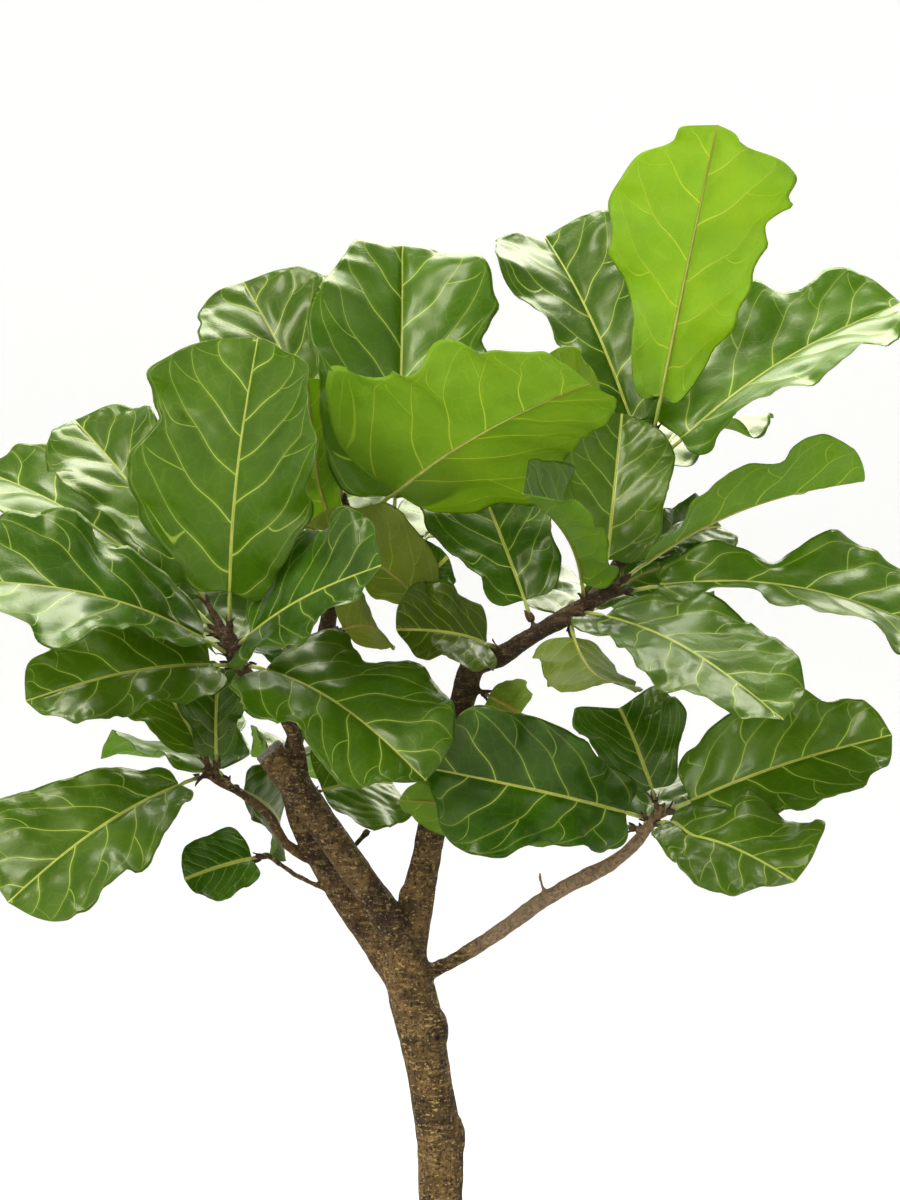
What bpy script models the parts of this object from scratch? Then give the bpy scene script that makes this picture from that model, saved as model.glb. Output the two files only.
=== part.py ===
"""Potted fiddle leaf fig: a branching tree with large leathery leaves in a plain round pot.

The origin is the centre of the pot's underside, +Z is up and the front is -Y. Sizes are in metres.
The tree's wood is one grown piece: a trunk, its limbs and its shoots, with a short collar where each
leaf stalk leaves a shoot. Every leaf is a piece of its own, lofted from a round stalk to a thin blade.
"""

import math
from collections import namedtuple

import bmesh
import bpy
from mathutils import Matrix, Vector

GAP = 0.0003  # between pieces that touch

# The pot is a plain tapered cylinder with a rounded rim.
POT_HEIGHT = 0.34
POT_RIM_RADIUS = 0.19
POT_BASE_RADIUS = 0.145
POT_WALL = 0.012
POT_FLOOR = 0.016
POT_FOOT_CHAMFER = 0.006
POT_SIDES = 48
RIM_ARC_STEPS = 4

# The soil stands a little below the rim and has a well for the foot of the trunk.
SOIL_TOP = 0.305
SOIL_CROWN = 0.006
WELL_DEPTH = 0.115
WELL_RADIUS = 0.0305

# Each leaf is a tube of eight-point rings: three round ones on the stalk, the rest flattened.
RING_POINTS = 8
STALK_RADIUS = 0.0024
STALK_SHARE = 0.10  # of the leaf's whole length
STALK_RINGS = ((0, 1.15), (0.3, 0.92), (0.75, 0.95))  # (share of the stalk, swelling)
COLLAR_LENGTH = 0.007
COLLAR_RADIUS = 0.0032
COLLAR_FLARE = 1.5  # how much wider a collar is at its foot
LEAST_SLANT = 0.2  # keeps a collar short where the stalk leaves along the shoot
BLADE_THICKNESS = 0.0011
MIDRIB_DEPTH = 0.0022  # how far the midrib stands out under the blade, at the stalk
MIDRIB_TAPER = 0.8  # share of that depth lost by the tip
HANDLE_SHARE = 0.38  # of the chord, for the curve that the midrib follows
WAVES = 2.6  # ripples along each margin
SLOW_WAVES = 1.2
SLOW_WAVE_SHARE = 0.6
INNER_WAVE_SHARE = 0.3
LOBES = 1.7  # swellings along each side of the outline
LOBE_SHARE = 0.085  # of the half width
WAVE_RISE = 0.7  # power: ripples grow fast from the stalk
RIPPLE_LAG = 0.37  # each lag is the share of a turn by which one side leads the other
SLOW_LAG = 0.21
LOBE_LAG = 0.29
SLOW_PHASE = 1.7  # each phase factor keeps the three waves of a leaf out of step
LOBE_PHASE = 2.3
PHASE_STEP = 0.618  # turns from one leaf to the next, so no two neighbours ripple alike

# (place along the blade, how far the margin leads the midrib), as shares of the blade.
STATIONS = (
    (0.00, 0.000),
    (0.04, -0.055),
    (0.10, -0.060),
    (0.20, -0.035),
    (0.32, -0.010),
    (0.45, 0.000),
    (0.58, 0.010),
    (0.70, 0.020),
    (0.81, 0.025),
    (0.90, 0.020),
    (0.96, 0.010),
)
# Half widths at those places, as shares of the widest. A fiddle has lobes at the stalk, a waist and
# its broadest part past the middle. A heart is notched: its two end lobes lead the tip.
FORMS = {
    "fiddle": (0.04, 0.32, 0.50, 0.60, 0.66, 0.79, 0.94, 1.00, 0.95, 0.76, 0.46),
    "broad": (0.04, 0.42, 0.68, 0.86, 0.94, 0.99, 1.00, 0.95, 0.83, 0.63, 0.37),
    "wedge": (0.04, 0.22, 0.36, 0.52, 0.66, 0.81, 0.93, 1.00, 0.97, 0.78, 0.47),
    "ovate": (0.04, 0.50, 0.80, 0.98, 1.00, 0.94, 0.84, 0.72, 0.58, 0.43, 0.26),
    "heart": (0.04, 0.32, 0.50, 0.62, 0.72, 0.85, 0.96, 1.00, 0.98, 0.90, 0.70),
}
HEART_LEAD = 0.13

# Wood: each route is a hand-chosen line of (x, y, z, radius), from where it grows to its end.
ROUTE_STEPS = 2  # stations between two points of a route
LIMB_ROUND = 3  # bevel resolution: ten sides
SHOOT_ROUND = 2  # eight sides
LIMBS = {
    "trunk": (
        (0.000, 0.000, 0.1903, 0.0300),
        (0.000, 0.000, 0.300, 0.0300),
        (0.001, 0.001, 0.340, 0.0285),
        (0.002, 0.002, 0.440, 0.0262),
        (0.000, 0.000, 0.540, 0.0252),
        (0.000, 0.000, 0.610, 0.0248),
        (-0.001, 0.000, 0.672, 0.0258),
        (-0.011, 0.000, 0.735, 0.0252),
        (-0.020, 0.000, 0.790, 0.0262),
        (-0.031, 0.000, 0.835, 0.0272),
        (-0.040, 0.000, 0.872, 0.0262),
        (-0.040, 0.000, 0.898, 0.0200),
    ),
    "front_limb": (
        (-0.034, -0.004, 0.865, 0.0170),
        (-0.052, -0.014, 0.912, 0.0185),
        (-0.085, -0.020, 0.962, 0.0182),
        (-0.119, -0.024, 1.012, 0.0180),
        (-0.156, -0.028, 1.066, 0.0172),
        (-0.189, -0.030, 1.108, 0.0165),
    ),
    "left_limb": (
        (-0.044, 0.008, 0.855, 0.0200),
        (-0.076, 0.014, 0.902, 0.0208),
        (-0.109, 0.018, 0.951, 0.0195),
        (-0.140, 0.022, 1.000, 0.0165),
        (-0.163, 0.030, 1.050, 0.0130),
        (-0.166, 0.044, 1.105, 0.0110),
        (-0.150, 0.062, 1.160, 0.0100),
        (-0.134, 0.078, 1.215, 0.0098),
        (-0.124, 0.090, 1.270, 0.0092),
        (-0.110, 0.096, 1.330, 0.0085),
        (-0.100, 0.098, 1.375, 0.0075),
    ),
    "right_limb": (
        (-0.034, 0.002, 0.880, 0.0190),
        (-0.027, 0.002, 0.935, 0.0185),
        (-0.016, 0.000, 0.985, 0.0165),
        (-0.003, 0.000, 1.050, 0.0152),
        (0.010, 0.000, 1.110, 0.0145),
        (0.026, 0.000, 1.168, 0.0148),
        (0.036, -0.002, 1.200, 0.0150),
        (0.064, -0.008, 1.208, 0.0118),
        (0.092, -0.014, 1.226, 0.0106),
        (0.130, -0.022, 1.248, 0.0096),
        (0.163, -0.030, 1.268, 0.0086),
        (0.190, -0.036, 1.284, 0.0076),
    ),
    "low_branch": (
        (-0.022, 0.000, 0.858, 0.0095),
        (0.010, -0.006, 0.872, 0.0085),
        (0.064, -0.012, 0.907, 0.0084),
        (0.113, -0.018, 0.943, 0.0088),
        (0.147, -0.022, 0.963, 0.0086),
        (0.185, -0.026, 0.982, 0.0076),
        (0.216, -0.030, 1.010, 0.0066),
        (0.240, -0.032, 1.044, 0.0060),
    ),
}
SHOOTS = {
    "left_shoot": (
        (-0.150, -0.026, 1.056, 0.0070),
        (-0.152, -0.030, 1.092, 0.0072),
        (-0.160, -0.032, 1.122, 0.0066),
        (-0.180, -0.032, 1.156, 0.0070),
        (-0.204, -0.030, 1.182, 0.0080),
        (-0.222, -0.028, 1.204, 0.0092),
        (-0.232, -0.026, 1.230, 0.0088),
    ),
    "side_shoot": (
        (-0.146, 0.018, 0.984, 0.0060),
        (-0.172, 0.010, 1.002, 0.0056),
        (-0.190, 0.004, 1.034, 0.0054),
        (-0.218, 0.000, 1.056, 0.0060),
        (-0.240, -0.004, 1.070, 0.0062),
        (-0.258, -0.008, 1.082, 0.0058),
    ),
    "thin_twig": (
        (-0.126, 0.012, 0.950, 0.0036),
        (-0.160, -0.002, 0.968, 0.0034),
        (-0.190, -0.014, 0.992, 0.0032),
    ),
    "dead_spur": (
        (-0.122, 0.014, 0.985, 0.0034),
        (-0.098, 0.016, 0.996, 0.0032),
        (-0.080, 0.014, 1.016, 0.0044),
    ),
    "low_spur": (
        (0.116, -0.018, 0.944, 0.0036),
        (0.110, -0.022, 0.960, 0.0026),
        (0.108, -0.026, 0.974, 0.0024),
    ),
    "crown_shoot": (
        (0.158, -0.028, 1.264, 0.0078),
        (0.190, 0.010, 1.300, 0.0072),
        (0.214, 0.040, 1.350, 0.0068),
        (0.228, 0.056, 1.400, 0.0062),
        (0.236, 0.060, 1.448, 0.0056),
    ),
    "centre_shoot": (
        (0.034, 0.000, 1.196, 0.0100),
        (0.010, 0.020, 1.236, 0.0084),
        (-0.022, 0.034, 1.290, 0.0078),
        (-0.058, 0.034, 1.334, 0.0072),
        (-0.092, 0.026, 1.366, 0.0062),
    ),
}
BURLS = (  # (centre, radii): swellings and healed wounds on the trunk
    ((-0.008, -0.012, 0.797), (0.018, 0.018, 0.030)),
    ((0.008, 0.000, 0.680), (0.020, 0.018, 0.032)),
    ((-0.036, -0.006, 0.944), (0.011, 0.010, 0.016)),
    ((-0.164, -0.030, 1.078), (0.018, 0.016, 0.018)),
)
BUD_TIPS = ("left_shoot", "side_shoot", "crown_shoot", "centre_shoot", "low_branch", "right_limb")
BUD_LENGTH = 0.010
BUD_POINT = 0.0008  # radius

# shoot and at: where the stalk leaves the wood, as a share of that route's length.
# tip: where the blade ends. faces: roughly where the middle of the upper face looks.
# arch: degrees the midrib drops from stalk to tip. fold: degrees each half rises from flat.
# curl: degrees the outer half of each side bends further. wave: height of the margin's ripples.
Leaf = namedtuple(
    "Leaf", "name shoot at tip faces width arch fold curl wave twist form", defaults=(0, "fiddle")
)
LEAVES = (
    # the crown, on the right
    Leaf(
        "crown_sunlit", "crown_shoot", 0.93, (0.300, -0.040, 1.785), (-0.1, 1, 0),
        0.186, 3, 4, 4, 0.009, form="wedge",
    ),
    Leaf(
        "crown_behind", "crown_shoot", 0.86, (0.122, 0.210, 1.700), (0.1, -1, 0.3),
        0.180, 20, 26, 6, 0.010,
    ),
    Leaf(
        "crown_right", "crown_shoot", 0.84, (0.521, 0.080, 1.606), (-0.1, -0.62, 1),
        0.210, 14, 14, 6, 0.015, form="broad",
    ),
    Leaf(
        "crown_small", "crown_shoot", 0.80, (0.108, -0.034, 1.530), (-0.35, 1, 0.6),
        0.080, 16, 14, 14, 0.005,
    ),
    Leaf(
        "crown_young", "crown_shoot", 0.97, (0.195, 0.180, 1.560), (0.3, -1, 0.2),
        0.060, 14, 12, 6, 0.004,
    ),
    Leaf("crown_rear", "crown_shoot", 0.76, (0.330, 0.370, 1.490), (0.2, -0.3, 1), 0.190, 22, 10, 6, 0.013),
    # the upper middle
    Leaf(
        "upper_tall", "centre_shoot", 0.76, (-0.045, 0.125, 1.677), (0.15, -1, 0.25),
        0.222, 16, 26, -8, 0.010, 8, form="broad",
    ),
    Leaf(
        "upper_bright", "centre_shoot", 0.97, (0.151, -0.265, 1.484), (-0.28, 0.9, 0.34),
        0.248, 10, 15, 0, 0.012, form="ovate",
    ),
    Leaf("upper_left", "left_limb", 0.98, (-0.232, 0.180, 1.642), (0.1, -1, 0.5), 0.170, 18, 14, 6, 0.010),
    Leaf("upper_lime", "left_limb", 0.87, (-0.140, 0.015, 1.510), (-0.2, 1, 0), 0.080, 12, 12, 8, 0.005),
    Leaf("upper_rear", "left_limb", 0.88, (-0.110, 0.400, 1.480), (0, -0.4, 1), 0.200, 22, 10, 6, 0.013),
    Leaf(
        "upper_rear_left", "left_limb", 0.84, (-0.340, 0.290, 1.420), (-0.2, -0.2, 1),
        0.180, 24, 10, 6, 0.013,
    ),
    # the left
    Leaf(
        "left_tall", "left_shoot", 0.97, (-0.195, -0.080, 1.550), (-0.35, -1, 0.1),
        0.225, 12, 14, 12, 0.009, form="broad",
    ),
    Leaf("left_high", "left_shoot", 0.97, (-0.416, 0.090, 1.474), (0.2, -1, 0.5), 0.140, 16, 12, 6, 0.010),
    Leaf(
        "left_far", "left_shoot", 0.95, (-0.541, 0.160, 1.423), (0.2, -0.8, 0.8),
        0.140, 16, 10, 6, 0.011, form="wedge",
    ),
    Leaf(
        "left_broad", "left_shoot", 0.86, (-0.490, -0.200, 1.290), (0.1, -0.7, 0.8),
        0.200, 18, 10, 10, 0.013,
    ),
    Leaf(
        "left_lime", "left_shoot", 0.985, (-0.345, -0.085, 1.295), (-0.4, 1, -0.5),
        0.070, 14, 10, 6, 0.006,
    ),
    Leaf(
        "left_low", "left_shoot", 0.82, (-0.430, -0.160, 1.165), (0.1, -0.9, 0.6),
        0.125, 18, 12, 10, 0.009, form="broad",
    ),
    Leaf("left_rear", "left_shoot", 0.78, (-0.370, 0.260, 1.270), (-0.2, 0, 1), 0.190, 22, 10, 6, 0.013),
    Leaf(
        "front_fold", "left_shoot", 0.92, (-0.060, -0.210, 1.305), (0, -1, 0.7),
        0.170, 10, 12, 10, 0.010, form="broad",
    ),
    Leaf(
        "front_cup", "left_shoot", 0.84, (-0.015, -0.200, 1.085), (0.4, -0.8, 0.6),
        0.190, 18, 18, -14, 0.012, form="broad",
    ),
    # the shoot at the lower left
    Leaf(
        "side_broad", "side_shoot", 0.97, (-0.450, -0.150, 0.955), (-0.2, -1, 0.7),
        0.180, 18, 8, 6, 0.009, form="wedge",
    ),
    Leaf(
        "side_up", "side_shoot", 0.94, (-0.315, 0.050, 1.178), (0.4, -1, 0.4),
        0.140, 12, 14, 6, 0.006, form="wedge",
    ),
    Leaf(
        "side_up_right", "side_shoot", 0.90, (-0.245, 0.010, 1.195), (-0.2, -1, 0.3),
        0.090, 12, 14, 6, 0.005,
    ),
    Leaf(
        "side_behind", "side_shoot", 0.84, (-0.185, 0.120, 1.015), (0.3, -1, 0.4),
        0.120, 16, 10, 6, 0.007,
    ),
    Leaf(
        "side_small", "thin_twig", 0.97, (-0.277, -0.050, 0.968), (-0.1, -1, 0.5),
        0.080, 14, 8, 6, 0.004, form="broad",
    ),
    Leaf("side_rear", "side_shoot", 0.78, (-0.340, 0.270, 1.080), (-0.2, 0, 1), 0.170, 20, 10, 6, 0.011),
    Leaf(
        "fork_leaf", "left_limb", 0.40, (-0.055, 0.110, 1.060), (-0.1, -1, 0.5),
        0.140, 18, 10, 6, 0.007, form="broad",
    ),
    Leaf("fork_rear", "left_limb", 0.46, (-0.150, 0.320, 1.050), (0, -0.1, 1), 0.160, 20, 10, 6, 0.011),
    # the low branch on the right
    Leaf("low_broad", "low_branch", 0.95, (-0.013, -0.150, 1.095), (0.1, -1, 0.2), 0.168, 14, 14, 8, 0.010),
    Leaf(
        "low_lime", "low_branch", 0.91, (-0.045, -0.065, 1.055), (-0.2, 1, 0.4),
        0.085, 8, 10, 6, 0.006, form="broad",
    ),
    Leaf(
        "low_heart", "low_branch", 0.98, (0.199, 0.000, 1.147), (0.1, -1, 0.3),
        0.125, 24, 14, 8, 0.006, form="heart",
    ),
    Leaf(
        "low_right", "low_branch", 0.96, (0.479, -0.100, 1.127), (0.1, -1, 0.7),
        0.150, 12, 14, 6, 0.010, form="broad",
    ),
    Leaf(
        "low_front", "low_branch", 0.93, (0.365, -0.220, 1.000), (0.1, -0.9, 0.8),
        0.150, 20, 8, 6, 0.013, form="wedge",
    ),
    Leaf("low_rear", "low_branch", 0.87, (0.300, 0.240, 1.060), (0.1, 0, 1), 0.180, 20, 10, 6, 0.013),
    # the right
    Leaf(
        "right_up", "right_limb", 0.97, (0.201, 0.030, 1.477), (0, -1, 0.3),
        0.126, 3, 12, 8, 0.007, form="broad",
    ),
    Leaf(
        "right_folded", "right_limb", 0.92, (0.083, -0.210, 1.378), (0.9, 0.25, 0.35),
        0.130, 16, 32, 14, 0.007,
    ),
    Leaf(
        "right_under", "right_limb", 0.985, (0.480, 0.090, 1.405), (0, 0.45, 1),
        0.140, 14, 22, 8, 0.010, form="wedge",
    ),
    Leaf(
        "right_behind", "crown_shoot", 0.30, (0.325, 0.150, 1.355), (0.1, -1, 0.6),
        0.090, 14, 10, 6, 0.006,
    ),
    Leaf(
        "right_broad", "right_limb", 0.955, (0.530, -0.070, 1.235), (0.1, -0.6, 1),
        0.180, 20, 10, 8, 0.015, form="wedge",
    ),
    Leaf(
        "right_front", "right_limb", 0.90, (0.340, -0.280, 1.151), (0.1, -0.7, 0.9),
        0.150, 14, 8, 8, 0.006, form="broad",
    ),
    Leaf(
        "right_hanging", "right_limb", 0.88, (0.180, -0.170, 1.185), (-0.3, 0.9, -0.1),
        0.110, 22, 10, 8, 0.006, form="broad",
    ),
    Leaf("right_dark", "right_limb", 0.80, (0.037, 0.105, 1.418), (0.1, -1, 0.05), 0.165, 10, 12, 8, 0.006),
    Leaf("right_small", "right_limb", 0.86, (0.300, 0.130, 1.320), (0.1, -1, 0.6), 0.080, 14, 10, 6, 0.005),
    Leaf("right_rear", "right_limb", 0.80, (0.270, 0.330, 1.230), (0.1, 0, 1), 0.190, 22, 10, 6, 0.013),
    # the centre
    Leaf(
        "centre_lime", "right_limb", 0.72, (-0.047, -0.095, 1.238), (0.1, -0.9, 0.7),
        0.120, 16, 10, 8, 0.007, form="broad",
    ),
    Leaf(
        "centre_small", "centre_shoot", 0.50, (0.008, -0.005, 1.318), (-0.1, -1, 0.3),
        0.070, 12, 10, 6, 0.004, form="broad",
    ),
    Leaf(
        "centre_droop", "centre_shoot", 0.28, (-0.143, -0.084, 1.350), (0.1, 0.8, 0.7),
        0.120, 14, 14, 10, 0.006, form="broad",
    ),
    Leaf(
        "centre_hanging", "right_limb", 0.60, (0.086, -0.050, 1.147), (0.2, 1, -0.1),
        0.065, 20, 8, 6, 0.004, form="broad",
    ),
    Leaf("centre_behind", "left_limb", 0.79, (-0.210, 0.230, 1.370), (0, -1, 0.4), 0.105, 14, 10, 6, 0.007),
    Leaf(
        "centre_shaded", "left_limb", 0.74, (-0.069, 0.000, 1.239), (0.3, 0.8, 0.5),
        0.085, 18, 10, 6, 0.004, form="broad",
    ),
    Leaf("centre_back", "left_limb", 0.66, (-0.225, 0.200, 1.230), (0, -1, 0.6), 0.090, 14, 10, 6, 0.005),
    Leaf("centre_rear", "centre_shoot", 0.66, (0.110, 0.340, 1.370), (0, -0.3, 1), 0.190, 22, 10, 6, 0.013),
)


def unit(values):
    """A direction of length one."""
    return Vector(values).normalized()


def across(direction, along):
    """The part of direction at right angles to along, of length one."""
    return (direction - along * direction.dot(along)).normalized()


def link(obj, collection):
    collection.objects.link(obj)
    return obj


def new_collection(name):
    collection = bpy.data.collections.new(name)
    bpy.context.scene.collection.children.link(collection)
    return collection


def material(name, colour, roughness):
    made = bpy.data.materials.new(name)
    made.use_nodes = True
    shader = made.node_tree.nodes["Principled BSDF"]
    shader.inputs["Base Color"].default_value = (*colour, 1)
    shader.inputs["Roughness"].default_value = roughness
    shader.inputs["Metallic"].default_value = 0
    return made


# ---------------------------------------------------------------- pot and soil


def pot_radius(z):
    """Outer radius of the pot at a height."""
    return POT_BASE_RADIUS + (POT_RIM_RADIUS - POT_BASE_RADIUS) * z / POT_HEIGHT


def turned(name, profile, look, collection):
    """A solid turned about Z from (radius, height) points that run down its outer side."""
    mesh = bpy.data.meshes.new(name)
    points = [(radius, 0, z) for radius, z in profile]
    mesh.from_pydata(points, [(i, i + 1) for i in range(len(points) - 1)], [])
    obj = link(bpy.data.objects.new(name, mesh), collection)
    screw = obj.modifiers.new("turn", "SCREW")
    screw.steps = POT_SIDES
    screw.render_steps = POT_SIDES
    screw.use_merge_vertices = True
    screw.merge_threshold = 0.00001
    screw.use_normal_calculate = True
    mesh.materials.append(look)
    return obj


def build_pot(look, collection):
    rim = POT_WALL / 2
    middle = pot_radius(POT_HEIGHT) - rim
    arc = [math.pi * (1 - i / RIM_ARC_STEPS) for i in range(RIM_ARC_STEPS + 1)]
    rounded = [
        (middle + rim * math.cos(angle), POT_HEIGHT - rim + rim * math.sin(angle)) for angle in arc
    ]
    inside = [(0, POT_FLOOR), (pot_radius(POT_FLOOR) - POT_WALL, POT_FLOOR)]
    outside = [
        (pot_radius(POT_FOOT_CHAMFER), POT_FOOT_CHAMFER),
        (pot_radius(0) - POT_FOOT_CHAMFER, 0),
        (0, 0),
    ]
    return turned("pot", inside + rounded + outside, look, collection)


def build_soil(look, collection):
    floor = POT_FLOOR + GAP
    well_floor = SOIL_TOP - WELL_DEPTH
    wall_top = pot_radius(SOIL_TOP) - POT_WALL - GAP
    profile = [
        (0, well_floor),
        (WELL_RADIUS, well_floor),
        (WELL_RADIUS, SOIL_TOP),
        (0.45 * wall_top, SOIL_TOP + SOIL_CROWN),
        (0.8 * wall_top, SOIL_TOP + SOIL_CROWN / 2),
        (wall_top, SOIL_TOP),
        (pot_radius(floor) - POT_WALL - GAP, floor),
        (0, floor),
    ]
    return turned("soil", profile, look, collection)


# ---------------------------------------------------------------- wood


def smoothed(route):
    """Stations on a Catmull-Rom curve through a route's points, as (place, radius)."""
    points = [Vector(p) for p in route]
    ends = [2 * points[0] - points[1], *points, 2 * points[-1] - points[-2]]
    made = []
    for before, start, end, after in zip(ends, ends[1:], ends[2:], ends[3:]):
        for step in range(ROUTE_STEPS):
            t = step / ROUTE_STEPS
            made.append(
                0.5
                * (
                    2 * start
                    + (end - before) * t
                    + (2 * before - 5 * start + 4 * end - after) * t**2
                    + (3 * start - before - 3 * end + after) * t**3
                )
            )
    made.append(points[-1])
    return [(p.to_3d(), p.w) for p in made]


def station(route, share):
    """(place, direction, radius) at a share of a route's length."""
    line = smoothed(route)
    lengths = [(b[0] - a[0]).length for a, b in zip(line, line[1:])]
    left = share * sum(lengths)
    for (start, radius), (end, next_radius), length in zip(line, line[1:], lengths):
        if left <= length + 1e-9:
            t = left / length
            return start.lerp(end, t), (end - start).normalized(), radius + (next_radius - radius) * t
        left -= length
    return line[-1][0], (line[-1][0] - line[-2][0]).normalized(), line[-1][1]


def tube(name, route, roundness):
    """A closed mesh tube along a route, made from a bevelled curve."""
    curve = bpy.data.curves.new(name, "CURVE")
    curve.dimensions = "3D"
    curve.bevel_depth = 1
    curve.bevel_resolution = roundness
    curve.use_fill_caps = True
    line = smoothed(route)
    spline = curve.splines.new("POLY")
    spline.points.add(len(line) - 1)
    for point, (place, radius) in zip(spline.points, line):
        point.co = (*place, 1)
        point.radius = radius
    obj = link(bpy.data.objects.new(name, curve), bpy.context.scene.collection)
    bpy.context.view_layer.update()
    evaluated = obj.evaluated_get(bpy.context.evaluated_depsgraph_get())
    mesh = bpy.data.meshes.new_from_object(evaluated)
    bpy.data.objects.remove(obj)
    edit = bmesh.new()
    edit.from_mesh(mesh)
    bmesh.ops.remove_doubles(edit, verts=edit.verts, dist=1e-6)
    bmesh.ops.recalc_face_normals(edit, faces=edit.faces)
    edit.to_mesh(mesh)
    edit.free()
    return mesh


def cone(start, end, start_radius, end_radius, sides=8):
    """A capped cone from one place to another, as a mesh."""
    axis = end - start
    edit = bmesh.new()
    bmesh.ops.create_cone(
        edit,
        cap_ends=True,
        segments=sides,
        radius1=start_radius,
        radius2=end_radius,
        depth=axis.length,
        matrix=Matrix.Translation((start + end) / 2) @ axis.to_track_quat("Z", "Y").to_matrix().to_4x4(),
    )
    mesh = bpy.data.meshes.new("cone")
    edit.to_mesh(mesh)
    edit.free()
    return mesh


def burl(centre, radii):
    edit = bmesh.new()
    shape = Matrix.Translation(centre) @ Matrix.Diagonal((*radii, 1))
    bmesh.ops.create_uvsphere(edit, u_segments=10, v_segments=7, radius=1, matrix=shape)
    mesh = bpy.data.meshes.new("burl")
    edit.to_mesh(mesh)
    edit.free()
    return mesh


def start_of(leaf):
    """(place on the wood's middle line, direction of the stalk, length of the collar from there)."""
    route = {**LIMBS, **SHOOTS}[leaf.shoot]
    place, axis, radius = station(route, leaf.at)
    chord = (Vector(leaf.tip) - place).normalized()
    up = across(unit(leaf.faces), chord)
    arch = math.radians(leaf.arch)
    stalk = chord * math.cos(arch) + up * math.sin(arch)
    slant = max(stalk.cross(axis).length, LEAST_SLANT)
    return place, stalk, radius / slant + COLLAR_LENGTH


def build_wood(look, collection, pieces):
    """One solid: every tube, burl, bud and collar is joined to the trunk."""
    meshes = [tube(name, route, LIMB_ROUND) for name, route in LIMBS.items()]
    meshes += [tube(name, route, SHOOT_ROUND) for name, route in SHOOTS.items()]
    meshes += [burl(centre, radii) for centre, radii in BURLS]
    for name in BUD_TIPS:
        end, axis, radius = station({**LIMBS, **SHOOTS}[name], 1)
        meshes.append(cone(end - axis * radius, end + axis * BUD_LENGTH, 0.9 * radius, BUD_POINT))
    for leaf in LEAVES:
        place, stalk, reach = start_of(leaf)
        meshes.append(cone(place, place + stalk * reach, COLLAR_FLARE * COLLAR_RADIUS, COLLAR_RADIUS))
    wood = link(bpy.data.objects.new("trunk_and_branches", meshes[0]), collection)
    for index, mesh in enumerate(meshes[1:]):
        piece = link(bpy.data.objects.new(f"wood_piece_{index}", mesh), pieces)
        piece.hide_render = True
        piece.display_type = "WIRE"
    join = wood.modifiers.new("join", "BOOLEAN")
    join.operation = "UNION"
    join.operand_type = "COLLECTION"
    join.collection = pieces
    join.solver = "EXACT"
    wood.data.materials.append(look)
    return wood


# ---------------------------------------------------------------- leaves


def bezier(a, b, c, d, t):
    """(place, direction) on a cubic curve."""
    s = 1 - t
    place = a * s**3 + b * (3 * s * s * t) + c * (3 * s * t * t) + d * t**3
    direction = (b - a) * (s * s) + (c - b) * (2 * s * t) + (d - c) * (t * t)
    return place, direction.normalized()


def midrib(leaf):
    """A function from a share of the leaf's length to (place, direction, up)."""
    root, stalk, reach = start_of(leaf)
    start = root + stalk * (reach + GAP)
    tip = Vector(leaf.tip)
    chord = tip - start
    along = chord.normalized()
    up = across(unit(leaf.faces), along)
    arch = math.radians(leaf.arch)
    end = along * math.cos(arch) - up * math.sin(arch)
    handle = HANDLE_SHARE * chord.length

    def at(share):
        place, direction = bezier(start, start + stalk * handle, tip - end * handle, tip, share)
        turn = Matrix.Rotation(math.radians(leaf.twist) * (share - 0.5), 3, direction)
        return place, direction, turn @ across(up, direction)

    return at, chord.length


def stalk_ring(centre, side, up, radius):
    """Eight points round a stalk, from its right side by the top."""
    angles = [2 * math.pi * i / RING_POINTS for i in range(RING_POINTS)]
    return [centre + side * (radius * math.cos(a)) + up * (radius * math.sin(a)) for a in angles]


def turns(value):
    """The sine of a number of whole turns."""
    return math.sin(2 * math.pi * value)


def margin_wave(leaf, along, side, phase):
    """Height of the ripples at a margin."""
    rise = math.sin(math.pi * along) ** WAVE_RISE
    ripple = turns(WAVES * along + phase + RIPPLE_LAG * side)
    slow = turns(SLOW_WAVES * along + SLOW_PHASE * phase - SLOW_LAG * side)
    return leaf.wave * rise * (ripple + SLOW_WAVE_SHARE * slow)


def lobed(along, side, phase):
    """How much wider than its form a leaf's side is here."""
    return 1 + LOBE_SHARE * turns(LOBES * along + LOBE_PHASE * phase + LOBE_LAG * side)


def blade_ring(leaf, centre, along, frame, form_width, lead, phase):
    """Eight points round a flat section: margin, three above, margin, three below."""
    direction, side, up = frame
    half = BLADE_THICKNESS / 2
    inner = {}
    outer = {}
    for sign in (1, -1):
        fold = math.radians(leaf.fold)
        bend = math.radians(leaf.fold + leaf.curl)
        wave = margin_wave(leaf, along, sign, phase)
        step = form_width * lobed(along, sign, phase) / 2
        inner[sign] = (
            centre
            + side * (sign * step * math.cos(fold))
            + up * (step * math.sin(fold) + INNER_WAVE_SHARE * wave)
            + direction * (lead / 2)
        )
        outer[sign] = (
            centre
            + side * (sign * step * (math.cos(fold) + math.cos(bend)))
            + up * (step * (math.sin(fold) + math.sin(bend)) + wave)
            + direction * lead
        )
    ridge = MIDRIB_DEPTH * (1 - MIDRIB_TAPER * along)
    return [
        outer[1],
        inner[1] + up * half,
        centre + up * half,
        inner[-1] + up * half,
        outer[-1],
        inner[-1] - up * half,
        centre - up * (half + ridge),
        inner[1] - up * half,
    ]


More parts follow.
